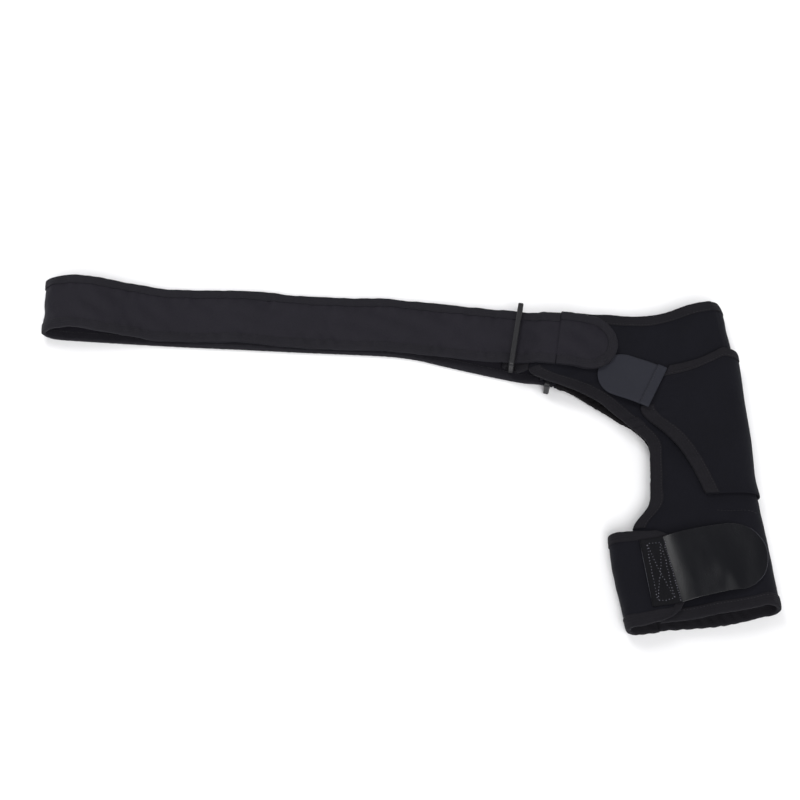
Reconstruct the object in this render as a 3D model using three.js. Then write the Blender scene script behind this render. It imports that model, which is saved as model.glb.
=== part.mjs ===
// Single-shoulder brace of black neoprene, lying folded flat: a folded shoulder shell with an arm cuff,
// a long chest strap that runs as a loop through two rectangular rings, a pocket on the deltoid side
// and two hook tabs. Millimetres, +Z up. The brace is drawn on a plan with X along the strap and Y away
// from the cuff, and is centred last.
import * as THREE from "three";
import { mergeVertices } from "three/addons/utils/BufferGeometryUtils.js";

// Driving dimensions
const SHELL_WALL = 2.5; // neoprene of the shell and the arm band
const STRAP_WALL = 2.2;
const POCKET_WALL = 2.0;
const TAPE_WALL = 0.6; // knitted binding tape
const GAP = 0.3; // between pieces that touch
const TAPE_LEG = 10;
const POCKET_TAPE_LEG = 11;
const BAND_TAPE_LEG = 9;
const STRAP_TAPE_LEG = 8;
const STRAP_WIDTH = 54.2; // without its binding
const FOLD_RADIUS = 12; // plan depth of the shell's fold on the arm side
const RING = { length: 68.6, height: 19, wire: 4.4, depth: 5, corner: 3, holeCorner: 1 };
const LOOP_WALL = 1.8; // neoprene pulled round a ring's bar
const HOOK_TAB = { wall: 1.2, width: 63 };
const POCKET_TAB = { wall: 1.4, width: 44, hem: 8.5, hemWall: 1.0 };

const TAPE_PROUD = GAP + TAPE_WALL; // how far a binding stands off the wall that it covers
const SHELL_FLOOR = SHELL_WALL / 2 + TAPE_PROUD; // middle of a bound shell wall that lies on the table
const STRAP_FLOOR = STRAP_WALL / 2 + TAPE_PROUD;

const NEOPRENE = new THREE.MeshStandardMaterial({ name: "neoprene", color: 0x1b1b20, roughness: 0.92 });
const KNIT_TAPE = new THREE.MeshStandardMaterial({ name: "binding", color: 0x222226, roughness: 0.95 });
const STRAP_KNIT = new THREE.MeshStandardMaterial({ name: "strap", color: 0x25252b, roughness: 0.93 });
const GREY_TAB = new THREE.MeshStandardMaterial({ name: "grey_tab", color: 0x34353c, roughness: 0.6 });
const GLOSS_TAB = new THREE.MeshStandardMaterial({ name: "gloss_tab", color: 0x18191d, roughness: 0.3 });
const RING_PLASTIC = new THREE.MeshStandardMaterial({ name: "ring", color: 0x202024, roughness: 0.45 });

// The two rings: plan centre, turn of the bar from the Y axis, and height of the underside.
const FRONT_RING = { x: 109.5, y: 57.4, turn: 9.5, bottom: 7.4 };
const BACK_RING = { x: 145, y: 38.5, turn: 14, bottom: 0 };

// Plan outline of the shell, from the cuff lip to the neck: inner edge of the front wall, inner edge of
// the back wall, and where the row meets the fold. The first and last pairs are a binding's width apart.
const SHELL_ROWS = [
  { frontX: 228, frontY: -227, backX: 228, backY: -227, foldY: -211, bow: 1, dip: 0 },
  { frontX: 225.8, frontY: -217.2, backX: 225.8, backY: -217.2, foldY: -201.3, bow: 1, dip: 0 },
  { frontX: 220.2, frontY: -192, backX: 220.2, backY: -192, foldY: -177, bow: 0.4, dip: 0 },
  { frontX: 214.5, frontY: -165, backX: 214.5, backY: -165, foldY: -151, bow: 0, dip: 0 },
  { frontX: 209.5, frontY: -139.5, backX: 209.5, backY: -139.5, foldY: -128, bow: 0, dip: 0 },
  { frontX: 225.2, frontY: -116, backX: 226.2, backY: -114.5, foldY: -109, bow: 0, dip: 0 },
  { frontX: 228, frontY: -97, backX: 230.4, backY: -95, foldY: -88, bow: 0, dip: 0 },
  { frontX: 229.3, frontY: -73, backX: 231.6, backY: -71, foldY: -62, bow: 0, dip: 0 },
  { frontX: 228.6, frontY: -54.5, backX: 231, backY: -49, foldY: -38, bow: 0, dip: 0 },
  { frontX: 215, frontY: -38, backX: 218.6, backY: -33.5, foldY: -12, bow: 0, dip: 0 },
  { frontX: 201, frontY: -25.3, backX: 203.4, backY: -24.8, foldY: 12, bow: 0, dip: 0 },
  { frontX: 186, frontY: -11.5, backX: 188.5, backY: -15.4, foldY: 30, bow: 0, dip: 0 },
  { frontX: 168, frontY: -2, backX: 172.4, backY: -4.6, foldY: 44, bow: 0, dip: 0 },
  { frontX: 150, frontY: 5, backX: 160.6, backY: 1.8, foldY: 54, bow: 0, dip: 0.1 },
  { frontX: 135, frontY: 11, backX: 152, backY: 4.8, foldY: 62, bow: 0, dip: 0.25 },
  { frontX: 121.5, frontY: 23.5, backX: 147.8, backY: 9, foldY: 69, bow: 0, dip: 0.45 },
  { frontX: 125.9, frontY: 50, backX: 155, backY: 38, foldY: 76, bow: 0, dip: 0.7 },
  { frontX: 129.8, frontY: 73.4, backX: 161.2, backY: 68.3, foldY: 83, bow: 0, dip: 1 },
  { frontX: 131.5, frontY: 83.3, backX: 163.1, backY: 78.4, foldY: 92.9, bow: 0, dip: 1 },
];

// Outermost line of the folded edge on the arm side.
const FOLD_LINE = [
  { y: -211, x: 335 },
  { y: -177, x: 331.5 },
  { y: -137, x: 327 },
  { y: -112, x: 324.5 },
  { y: -98, x: 321.5 },
  { y: -51, x: 319.5 },
  { y: -9, x: 317 },
  { y: 36, x: 315 },
  { y: 55, x: 311.5 },
  { y: 82, x: 308 },
  { y: 93.3, x: 304.5 },
];

// How far the neck edge dips towards the cuff, along X.
const NECK_DIP = [
  { x: 130, dip: 2.6 },
  { x: 152, dip: 5.6 },
  { x: 172, dip: 6.8 },
  { x: 195, dip: 7.8 },
  { x: 224, dip: 11 },
  { x: 240, dip: 11 },
  { x: 253, dip: 9.4 },
  { x: 269, dip: 4.8 },
  { x: 285, dip: 1.8 },
  { x: 304, dip: 0 },
];

// How far the cuff's lips bow past a straight cut, front and back, along X.
const CUFF_BOW = [
  { x: 228, front: 0, back: 1.7 },
  { x: 253, front: 1.6, back: 4.2 },
  { x: 271, front: 1.8, back: 5.8 },
  { x: 288, front: 2.1, back: 6.5 },
  { x: 306, front: 2.1, back: 5.6 },
  { x: 320, front: 0.9, back: 4.4 },
  { x: 335, front: -0.8, back: 1.6 },
];

// Height of the front wall's middle, by the distance in from the fold line.
const FRONT_PROFILE = [
  { inward: 13, height: 24 },
  { inward: 45, height: 21.5 },
  { inward: 75, height: 19.2 },
  { inward: 100, height: 18 },
];
// What the front wall gains as it climbs over the back ring, by the distance past the front ring.
const FRONT_TAIL_RISE = [
  { past: 14, rise: 1.2 },
  { past: 18, rise: 2.4 },
  { past: 25, rise: 4.6 },
  { past: 33, rise: 6.2 },
  { past: 48, rise: 6.2 },
  { past: 62, rise: 4.2 },
  { past: 80, rise: 1.6 },
  { past: 98, rise: 0 },
];
// What the back wall gains over the strap end and the back ring, by the distance past the back ring.
const BACK_TAIL_RISE = [
  { past: 9, rise: 16 },
  { past: 15, rise: 13.8 },
  { past: 24, rise: 9 },
  { past: 33, rise: 5.8 },
  { past: 42, rise: 4.6 },
  { past: 62, rise: 4.6 },
  { past: 74, rise: 2 },
  { past: 88, rise: 0 },
];
// The cuff's mouth stands open in an arch, which fades towards the pocket.
const CUFF_ARCH = [
  { y: -227, arch: 3.6 },
  { y: -190, arch: 2.6 },
  { y: -150, arch: 1.2 },
  { y: -115, arch: 0 },
];
const ARCH_SPAN = 85;
const TAIL_REACH = 110; // how far past the front ring its rise can reach

// The pocket on the deltoid side: its free left edge and where each row meets the fold, from its bottom
// seam up.
const POCKET_ROWS = [
  { leftX: 276, leftY: -107, foldY: -107, lift: 3.8, bow: 0 },
  { leftX: 270, leftY: -91, foldY: -90, lift: 4.1, bow: 0 },
  { leftX: 263, leftY: -75, foldY: -71, lift: 4.6, bow: 0 },
  { leftX: 254, leftY: -59, foldY: -52, lift: 5.2, bow: 0 },
  { leftX: 241.8, leftY: -44, foldY: -34, lift: 5.6, bow: 0 },
  { leftX: 227.6, leftY: -30, foldY: -18, lift: 5.4, bow: 0 },
  { leftX: 223.4, leftY: -18.6, foldY: -4, lift: 5, bow: 0 },
  { leftX: 234, leftY: -5.4, foldY: 12, lift: 4.8, bow: 0.4 },
  { leftX: 244.9, leftY: 11.5, foldY: 31.2, lift: 4.8, bow: 1 },
  { leftX: 251.5, leftY: 22.4, foldY: 39.5, lift: 4.6, bow: 1 },
];
const POCKET_CORNER_ROW = 6; // the row where the side binding ends under the tab
const POCKET_FOLD_LIFT = 3.6; // pocket's middle above the shell's middle at the fold
const POCKET_BACK_REACH = 38; // how far the pocket runs on behind the fold
const POCKET_TOP_BOW = -2.5;
const POCKET_TOP_DROOP = 6; // how far the pocket's top drops on its way round the fold
const POCKET_RAISE = 1.9; // the back wall lies on the pocket's back part
const RAISED = { nearY: -122, farY: 60, ramp: 14, inward: 78, fade: 22 }; // where it does so

// Arm band: left extreme, and where its front end stops, from the near lip to the far edge.
const BAND_ROWS = [
  { leftX: 199, leftY: -232, startX: 227.2, startY: -229.4, endX: 229, endY: -227.5, height: 24.8 },
  { leftX: 197.9, leftY: -228, startX: 226.3, startY: -225.4, endX: 239, endY: -222, height: 24.8 },
  { leftX: 196.5, leftY: -222, startX: 224.9, startY: -219, endX: 246, endY: -214.5, height: 24.8 },
  { leftX: 194.6, leftY: -213, startX: 222.9, startY: -208.5, endX: 250, endY: -205, height: 24.7 },
  { leftX: 191.5, leftY: -195, startX: 219, startY: -191, endX: 250, endY: -187, height: 24.5 },
  { leftX: 189.1, leftY: -178, startX: 215, startY: -174, endX: 248, endY: -170, height: 24.3 },
  { leftX: 187.9, leftY: -166, startX: 212.2, startY: -163.4, endX: 246, endY: -159, height: 24.2 },
  { leftX: 187.3, leftY: -154.5, startX: 209.6, startY: -152.6, endX: 241, endY: -150, height: 24 },
  { leftX: 187.1, leftY: -145.5, startX: 207.6, startY: -143.6, endX: 229, endY: -144, height: 24 },
];
const BAND_FOLD_RADIUS = 10;
const BAND_FOLD_STEPS = 10;
const BAND_FLAT_STEPS = 4;

// Chest strap, middle of the wall: over the front, round the far turn and back underneath.
const STRAP_PATH = [
  { x: 203.5, y: 45.6, z: 24.9 },
  { x: 190, y: 46.4, z: 25.2 },
  { x: 178, y: 47.6, z: 26.2 },
  { x: 165, y: 49, z: 28.4 },
  { x: 152, y: 50.6, z: 29.1 },
  { x: 140, y: 52.4, z: 28.8 },
  { x: 131, y: 54, z: 26.8 },
  { x: 124, y: 55.4, z: 23.2 },
  { x: 117, y: 56.6, z: 20.2 },
  { x: 109.5, y: 58, z: 17.6 },
  { x: 97, y: 60, z: 15.2 },
  { x: 72, y: 64, z: 12.4 },
  { x: 48, y: 68, z: 10.6 },
  { x: 22, y: 72, z: 8.6 },
  { x: -12, y: 77, z: 7 },
  { x: -46, y: 78, z: 6.5 },
  { x: -80, y: 79.5, z: 6.4 },
  { x: -115, y: 82.5, z: 6.4 },
  { x: -149, y: 86.3, z: 6.4 },
  { x: -192, y: 86.8, z: 6.5 },
  { x: -225, y: 87, z: 8 },
  { x: -242, y: 88.3, z: 10.6 },
  { x: -259, y: 89.5, z: 14.8 },
  { x: -283, y: 91, z: 21.6 },
  { x: -302, y: 92.6, z: 25 },
  { x: -318, y: 93.2, z: 24.9 },
  { x: -332.4, y: 93, z: 20.6 },
  { x: -339.2, y: 92.7, z: 12.8 },
  { x: -334, y: 92.3, z: 5.4 },
  { x: -322, y: 91.6, z: 2.2 },
  { x: -300, y: 90, z: 2 },
  { x: -261, y: 87.3, z: 2 },
  { x: -209, y: 84, z: 2 },
  { x: -150, y: 81, z: 2 },
  { x: -95, y: 78, z: 2 },
  { x: -43, y: 75.5, z: 2 },
  { x: -4, y: 73, z: 2 },
  { x: 22, y: 69, z: 2 },
  { x: 47, y: 62.5, z: 2 },
  { x: 72, y: 56, z: 2 },
  { x: 95, y: 50.3, z: 2 },
  { x: 108, y: 47.2, z: 2.2 },
  { x: 119, y: 44.6, z: 2.7 },
  { x: 128, y: 42.5, z: 4.4 },
  { x: 137, y: 40.4, z: 6.6 },
  { x: 147, y: 38.1, z: 7.2 },
  { x: 157, y: 35.8, z: 6 },
  { x: 168, y: 33.7, z: 3.4 },
  { x: 180, y: 31.8, z: 2.15 },
  { x: 192, y: 30.4, z: 2 },
  { x: 205, y: 29, z: 2 },
];
const STRAP_END_LENGTH = 55; // from the round tip to the cross seam
// How far the strap's far edge is drawn in at the front ring, by the distance from the strap's tip.
const STRAP_GATHER = [
  { from: 55, inset: 2.6 },
  { from: 78, inset: 3 },
  { from: 96, inset: 1.2 },
  { from: 118, inset: 0 },
];

// Glossy hook tab of the arm cuff, middle of the wall, from its sewn end.
const ARM_TAB_PATH = [
  { x: 216.5, y: -185, z: 27.5 },
  { x: 228, y: -183.5, z: 27.5 },
  { x: 240, y: -181.5, z: 28.2 },
  { x: 252, y: -178.5, z: 28.5 },
  { x: 264, y: -175.6, z: 28.2 },
  { x: 280, y: -172, z: 27.6 },
  { x: 296, y: -169.4, z: 27.5 },
  { x: 309, y: -168, z: 27.2 },
  { x: 317, y: -167.6, z: 26.6 },
  { x: 322.4, y: -167.4, z: 25.6 },
  { x: 325.6, y: -167.4, z: 24.8 },
];

// Grey tab of the pocket: middle of the wall, from its hem to the round tip under the strap's end.
const POCKET_TAB_PATH = [
  { x: 238.4, y: -1.2, z: 27.2 },
  { x: 230, y: 3, z: 27.1 },
  { x: 221, y: 7.5, z: 25.9 },
  { x: 211, y: 12.4, z: 23.8 },
  { x: 200, y: 17.6, z: 22.3 },
  { x: 186.5, y: 24, z: 21.9 },
];

// Reads a column of a table at a value of another, as a smooth curve through the rows.
function read(rows, input, output, at) {
  const sign = rows[1][input] > rows[0][input] ? 1 : -1;
  const xs = rows.map((row) => sign * row[input]);
  const ys = rows.map((row) => row[output]);
  const x = Math.min(Math.max(sign * at, xs[0]), xs.at(-1));
  let i = 0;
  while (i < xs.length - 2 && x > xs[i + 1]) i += 1;
  const slope = (k) => {
    const low = Math.max(k - 1, 0);
    const high = Math.min(k + 1, xs.length - 1);
    return (ys[high] - ys[low]) / (xs[high] - xs[low]);
  };
  const span = xs[i + 1] - xs[i];
  const t = (x - xs[i]) / span;
  const flat = (k) => (k === 0 || k === xs.length - 1 ? 0 : slope(k) * span);
  const t2 = t * t;
  const t3 = t2 * t;
  const start = (2 * t3 - 3 * t2 + 1) * ys[i] + (t3 - 2 * t2 + t) * flat(i);
  return start + (3 * t2 - 2 * t3) * ys[i + 1] + (t3 - t2) * flat(i + 1);
}

const clamp01 = (value) => Math.min(Math.max(value, 0), 1);

// Distance past a ring, along the strap that runs through it.
function pastRing(ring, x, y) {
  const turn = THREE.MathUtils.degToRad(ring.turn);
  return (x - ring.x) * Math.cos(turn) - (y - ring.y) * Math.sin(turn);
}

// Height of the front wall's middle over a point of the plan.
function frontHeight(x, y) {
  const inward = read(FOLD_LINE, "y", "x", y) - x;
  const across = clamp01((inward - FOLD_RADIUS) / ARCH_SPAN);
  const arch = read(CUFF_ARCH, "y", "arch", y) * Math.sin(Math.PI * across) ** 2;
  const rise = read(FRONT_TAIL_RISE, "past", "rise", pastRing(FRONT_RING, x, y));
  const tail = x < FRONT_RING.x + TAIL_REACH ? rise : 0;
  return read(FRONT_PROFILE, "inward", "height", inward) + arch + tail;
}

// Height of the back wall's middle over a point of the plan.
function backHeight(x, y) {
  const inward = read(FOLD_LINE, "y", "x", y) - x;
  const alongPocket = clamp01((y - RAISED.nearY) / RAISED.ramp) * clamp01((RAISED.farY - y) / RAISED.ramp);
  const raise = POCKET_RAISE * alongPocket * clamp01((RAISED.inward - inward) / RAISED.fade);
  const rise = read(BACK_TAIL_RISE, "past", "rise", pastRing(BACK_RING, x, y));
  return SHELL_FLOOR + raise + rise;
}

// A grid of points with the surface's normal at each of them.
function withNormals(points) {
  const pick = (i, j) => {
    const row = points[Math.min(Math.max(i, 0), points.length - 1)];
    return row[Math.min(Math.max(j, 0), row.length - 1)];
  };
  const normals = points.map((row, i) =>
    row.map((_, j) => {
      const along = new THREE.Vector3().subVectors(pick(i + 1, j), pick(i - 1, j));
      const across = new THREE.Vector3().subVectors(pick(i, j + 1), pick(i, j - 1));
      return across.cross(along).normalize();
    }),
  );
  return { points, normals };
}

// Whether the way from a to b is the shorter diagonal beside c to d.
function shorter(a, b, c, d) {
  return a.distanceTo(b) < c.distanceTo(d);
}

// Turns a list of triangles into a geometry whose faces point outwards.
function closedGeometry(vertices, triangles) {
  const volume = triangles.reduce((sum, [a, b, c]) => {
    const cross = new THREE.Vector3().crossVectors(vertices[b], vertices[c]);
    return sum + vertices[a].dot(cross);
  }, 0);
  const faces = volume < 0 ? triangles.map(([a, b, c]) => [a, c, b]) : triangles;
  const positions = vertices.flatMap((v) => v.toArray());
  const geometry = new THREE.BufferGeometry();
  geometry.setAttribute("position", new THREE.Float32BufferAttribute(positions, 3));
  geometry.setIndex(faces.flat());
  return mergeVertices(geometry, 1e-4);
}

// A sheet of even thickness about the middle surface given as a grid.
function sheetGeometry({ points, normals }, thickness) {
  const rows = points.length;
  const columns = points[0].length;
  const lastRow = rows - 1;
  const lastColumn = columns - 1;
  const vertices = [thickness / 2, -thickness / 2].flatMap((off) =>
    points.flatMap((row, i) => row.map((p, j) => p.clone().addScaledVector(normals[i][j], off))),
  );
  const at = (side, i, j) => side * rows * columns + i * columns + j;
  const triangles = [];
  const quad = (a, b, c, d) => triangles.push([a, b, c], [a, c, d]);
  for (let i = 0; i < lastRow; i += 1) {
    for (let j = 0; j < lastColumn; j += 1) {
      const corners = [[i, j], [i, j + 1], [i + 1, j + 1], [i + 1, j]];
      const [p, q, r, t] = corners.map(([row, column]) => points[row][column]);
      const [a, b, c, d] = shorter(q, t, p, r) ? [...corners.slice(1), corners[0]] : corners;
      quad(at(0, ...a), at(0, ...b), at(0, ...c), at(0, ...d));
      quad(at(1, ...a), at(1, ...d), at(1, ...c), at(1, ...b));
    }
    quad(at(0, i, 0), at(0, i + 1, 0), at(1, i + 1, 0), at(1, i, 0));
    quad(at(0, i, lastColumn), at(1, i, lastColumn), at(1, i + 1, lastColumn), at(0, i + 1, lastColumn));
  }
  for (let j = 0; j < lastColumn; j += 1) {
    quad(at(0, 0, j), at(1, 0, j), at(1, 0, j + 1), at(0, 0, j + 1));
    quad(at(0, lastRow, j), at(0, lastRow, j + 1), at(1, lastRow, j + 1), at(1, lastRow, j));
  }
  return closedGeometry(vertices, triangles);
}

// A strip of a sheet along its edge, for a binding: pairs of grid places, one on the edge and one a
// binding's width in.
function gridStrip({ points, normals }, edge, inner) {
  const place = ([i, j]) => ({ point: points[i][j], normal: normals[i][j] });
  return edge.map((outer, k) => ({ edge: place(outer), inner: place(inner[k]) }));
}

// A strip square to an edge that turns corners on a flat part of a sheet.
function squareStrip({ points, normals }, edge, leg, inwardSide) {
  const path = edge.map(([i, j]) => points[i][j]);
  return edge.map(([i, j], k) => {
    const before = path[Math.max(k - 1, 0)];
    const after = path[Math.min(k + 1, path.length - 1)];
    const tangent = new THREE.Vector3().subVectors(after, before).normalize();
    const normal = normals[i][j];
    const inward = new THREE.Vector3().crossVectors(normal, tangent).multiplyScalar(inwardSide).normalize();
    const point = path[k].clone().addScaledVector(inward, leg);
    return { edge: { point: path[k], normal }, inner: { point, normal } };
  });
}

// Binding tape folded over the edge of a sheet, along a strip.
function tapeGeometry(strip, wall) {
  const near = wall / 2 + GAP;
  const far = near + TAPE_WALL;
  const vertices = strip.flatMap(({ edge, inner }) => {
    const outward = new THREE.Vector3().subVectors(edge.point, inner.point).normalize();
    const at = (place, out, off) => {
      const point = place.point.clone().addScaledVector(outward, out);
      return point.addScaledVector(place.normal, off);
    };
    return [
      at(edge, GAP + TAPE_WALL, -far),
      at(inner, 0, -far),
      at(inner, 0, -near),
      at(edge, GAP, -near),
      at(edge, GAP, near),
      at(inner, 0, near),
      at(inner, 0, far),
      at(edge, GAP + TAPE_WALL, far),
    ];
  });
  const count = 8;
  const triangles = [];
  for (let k = 0; k < strip.length - 1; k += 1) {
    const [now, next] = [strip[k], strip[k + 1]];
    const fromInner = shorter(now.inner.point, next.edge.point, now.edge.point, next.inner.point);
    for (let s = 0; s < count; s += 1) {
      const a = k * count + s;
      const b = k * count + ((s + 1) % count);
      const startsInside = s === 2 || s === 6;
      if (fromInner === startsInside) triangles.push([a, b, b + count], [a, b + count, a + count]);
      else triangles.push([a, b, a + count], [b, b + count, a + count]);
    }
  }
  const last = (strip.length - 1) * count;
  for (const [a, b, c, d] of [[0, 1, 2, 3], [0, 3, 4, 7], [4, 5, 6, 7]]) {
    triangles.push([a, c, b], [a, d, c], [last + a, last + b, last + c], [last + a, last + c, last + d]);
  }
  return closedGeometry(vertices, triangles);
}

function piece(name, geometry, material) {
  const mesh = new THREE.Mesh(geometry, material);
  mesh.name = name;
  return mesh;
}

// Points from a to b at the given shares of the way, with heights from a function of the plan.
function runOver(a, b, shares, shape) {
  const { lerp } = THREE.MathUtils;
  return shares.map((t) => shape(lerp(a.x, b.x, t), lerp(a.y, b.y, t), t));
}

function evenShares(steps) {
  return range(0, steps).map((k) => k / steps);
}

// Shares of the way from a point of an edge to a target, the first step a binding's width from the edge.
function sharesFromEdge(edge, index, target, leg, steps) {
  const here = edge[index];
  const before = edge[Math.max(index - 1, 0)];
  const after = edge[Math.min(index + 1, edge.length - 1)];
  const tangent = new THREE.Vector2(after.x - before.x, after.y - before.y).normalize();
  const toTarget = new THREE.Vector2(target.x - here.x, target.y - here.y);
  const first = leg / Math.abs(tangent.cross(toTarget));
  return [0, ...evenShares(steps - 1).map((t) => first + (1 - first) * t)];
}

// Half an ellipse from the top wall to the bottom wall, bulging along X. The ends are left out.
function foldOver(top, bottom, reach, steps) {
  return range(1, steps - 1).map((k) => {
    const angle = (Math.PI * k) / steps;
    const point = top.clone().lerp(bottom, (1 - Math.cos(angle)) / 2);
    point.x += reach * Math.sin(angle);
    return point;
  });
}

// The shell's rows: across the front, round the fold on the arm side, and back across the underside.
const FRONT_STEPS = 9;
const FOLD_STEPS = 7;
const BACK_STEPS = 9;
function shellSurface() {
  const frontEdge = SHELL_ROWS.map((row) => ({ x: row.frontX, y: row.frontY }));
  const backEdge = SHELL_ROWS.map((row) => ({ x: row.backX, y: row.backY }));
  const rows = SHELL_ROWS.map((row, index) => {
    const place = (x, y, side, height) => {
      const bowed = y - row.dip * read(NECK_DIP, "x", "dip", x) - row.bow * read(CUFF_BOW, "x", side, x);
      return new THREE.Vector3(x, bowed, height(x, bowed));
    };
    const centre = { x: read(FOLD_LINE, "y", "x", row.foldY) - SHELL_WALL / 2 - FOLD_RADIUS, y: row.foldY };
    const wall = (edge, steps, side, height) => {
      const shares = sharesFromEdge(edge, index, centre, TAPE_LEG, steps);
      return runOver(edge[index], centre, shares, (x, y) => place(x, y, side, height));
    };
    const front = wall(frontEdge, FRONT_STEPS, "front", frontHeight);
    const back = wall(backEdge, BACK_STEPS, "back", backHeight).reverse();
    return [...front, ...foldOver(front.at(-1), back[0], FOLD_RADIUS, FOLD_STEPS), ...back];
  });
  return withNormals(rows);
}

function range(from, to) {
  const step = to >= from ? 1 : -1;
  return Array.from({ length: Math.abs(to - from) + 1 }, (_, k) => from + k * step);
}

function shellPieces() {
  const shell = shellSurface();
  const lastRow = shell.points.length - 1;
  const lastColumn = shell.points[0].length - 1;
  const armpit = range(4, 15);
  const columns = range(0, lastColumn);
  const tape = (edge, inner) => tapeGeometry(gridStrip(shell, edge, inner), SHELL_WALL);
  const alongColumn = (from, to) => tape(armpit.map((i) => [i, from]), armpit.map((i) => [i, to]));
  const alongRow = (from, to) => tape(columns.map((j) => [from, j]), columns.map((j) => [to, j]));
  return [
    piece("shoulder_shell", sheetGeometry(shell, SHELL_WALL), NEOPRENE),
    piece("armpit_binding_front", alongColumn(0, 1), KNIT_TAPE),
    piece("armpit_binding_back", alongColumn(lastColumn, lastColumn - 1), KNIT_TAPE),
    piece("neck_binding", alongRow(lastRow, lastRow - 1), KNIT_TAPE),
    piece("cuff_binding", alongRow(0, 1), KNIT_TAPE),
  ];
}

// The pocket panel lies on the shell's front, goes round the fold and ends plainly behind it.
function pocketSurface() {
  const edge = POCKET_ROWS.map((row) => ({ x: row.leftX, y: row.leftY }));
  const underside = (x, y) => new THREE.Vector3(x, y, POCKET_WALL / 2);
  const rows = POCKET_ROWS.map((row, index) => {
    const centre = { x: read(FOLD_LINE, "y", "x", row.foldY) - SHELL_WALL / 2 - FOLD_RADIUS, y: row.foldY };
    const shares = sharesFromEdge(edge, index, centre, POCKET_TAPE_LEG, 6);
    const front = runOver(edge[index], centre, shares, (x, y, t) => {
      const bowed = y + row.bow * POCKET_TOP_BOW * Math.sin(Math.PI * t);
      const lift = THREE.MathUtils.lerp(row.lift, POCKET_FOLD_LIFT, Math.sqrt(t));
      return new THREE.Vector3(x, bowed, frontHeight(x, bowed) + lift);
    });
    const drooped = centre.y - row.bow * POCKET_TOP_DROOP;
    const behind = { x: centre.x - POCKET_BACK_REACH, y: drooped };
    const back = runOver({ x: centre.x, y: drooped }, behind, evenShares(3), underside);
    const turn = foldOver(front.at(-1), back[0], FOLD_RADIUS + POCKET_FOLD_LIFT, FOLD_STEPS + 1);
    return [...front, ...turn, ...back];
  });
  return withNormals(rows);
}

function pocketPieces() {
  const pocket = pocketSurface();
  const lastRow = pocket.points.length - 1;
  const sideRows = range(0, POCKET_CORNER_ROW);
  const topColumns = range(0, 9);
  const tape = (edge, inner) => tapeGeometry(gridStrip(pocket, edge, inner), POCKET_WALL);
  const side = tape(sideRows.map((i) => [i, 0]), sideRows.map((i) => [i, 1]));
  const top = tape(topColumns.map((j) => [lastRow, j]), topColumns.map((j) => [lastRow - 1, j]));
  return [
    piece("pocket_panel", sheetGeometry(pocket, POCKET_WALL), NEOPRENE),
    piece("pocket_side_binding", side, KNIT_TAPE),
    piece("pocket_top_binding", top, KNIT_TAPE),
  ];
}

// Arm band: leaves the shell's back wall, turns up on the left and lies over the front.
function bandSurface() {
  const rows = BAND_ROWS.map((row) => {
    const centreX = row.leftX + SHELL_WALL / 2 + BAND_FOLD_RADIUS;
    const centre = { x: centreX, y: row.leftY };
    const end = { x: row.endX, y: row.endY };
    const start = { x: row.startX, y: row.startY };
    const level = (z) => (x, y) => new THREE.Vector3(x, y, z);
    const front = runOver(end, centre, evenShares(BAND_FLAT_STEPS), level(row.height));
    const back = runOver(centre, start, evenShares(2), level(SHELL_FLOOR));
    return [...front, ...foldOver(front.at(-1), back[0], -BAND_FOLD_RADIUS, BAND_FOLD_STEPS), ...back];
  });
  return withNormals(rows);
}

function bandPieces() {
  const band = bandSurface();
  const lastRow = band.points.length - 1;
  const lastColumn = band.points[0].length - 1;
  const row = (i, columns) => columns.map((j) => [i, j]);
  const folded = range(BAND_FLAT_STEPS, lastColumn);
  const unfolded = range(0, BAND_FLAT_STEPS - 1);
  const end = range(1, lastRow - 1).map((i) => [i, 0]);
  const flat = [...row(0, unfolded.toReversed()), ...end, ...row(lastRow, unfolded)];
  const strip = [
    ...gridStrip(band, row(0, folded.toReversed()), row(2, folded.toReversed())),
    ...squareStrip(band, flat, BAND_TAPE_LEG, -1),
    ...gridStrip(band, row(lastRow, folded), row(lastRow - 1, folded)),
  ];
  return [
    piece("arm_band", sheetGeometry(band, SHELL_WALL), NEOPRENE),
    piece("arm_band_binding", tapeGeometry(strip, SHELL_WALL), KNIT_TAPE),
  ];
}

// Distances along a curve that follow its bends, between two ends.
function stations(curve, from, to, longest, sharpest) {
  const length = curve.getLength();
  const found = [from];
  let tangent = curve.getTangentAt(from / length);
  for (let s = from + 1; s < to - 2; s += 1) {
    const now = curve.getTangentAt(s / length);
    if (s - found.at(-1) >= longest || now.angleTo(tangent) >= sharpest) {
      found.push(s);
      tangent = now;
    }
  }
  return [...found, to];
}

// Distances from a round tip where its half circle is cut into steps.
function tipStations(radius, steps) {
  return range(1, steps).map((k) => radius * (1 - Math.cos((Math.PI / 2) * (k / steps))));
}

// A band about a curve, level across. The offsets from the curve are given along it.
function ribbonSurface(curve, distances, offsets) {
  const length = curve.getLength();
  const rows = distances.map((s) => {
    const centre = curve.getPointAt(clamp01(s / length));
    centre.z = Math.max(centre.z, STRAP_FLOOR);
    const tangent = curve.getTangentAt(clamp01(s / length));
    const side = new THREE.Vector3(0, 1, 0).addScaledVector(tangent, -tangent.y).setZ(0).normalize();
    return offsets(s).map((offset) => centre.clone().addScaledVector(side, offset));
  });
  return withNormals(rows);
}

function pathCurve(rows) {
  const points = rows.map(({ x, y, z }) => new THREE.Vector3(x, y, z));
  const curve = new THREE.CatmullRomCurve3(points, false, "centripetal");
  curve.arcLengthDivisions = 2000;
  return curve;
}

// Offsets of the two edges at a distance from a round tip.
function roundTip(radius, fromTip) {
  const half = fromTip >= radius ? radius : Math.sqrt(Math.max(radius ** 2 - (radius - fromTip) ** 2, 0));
  return [-half, half];
}

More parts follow.
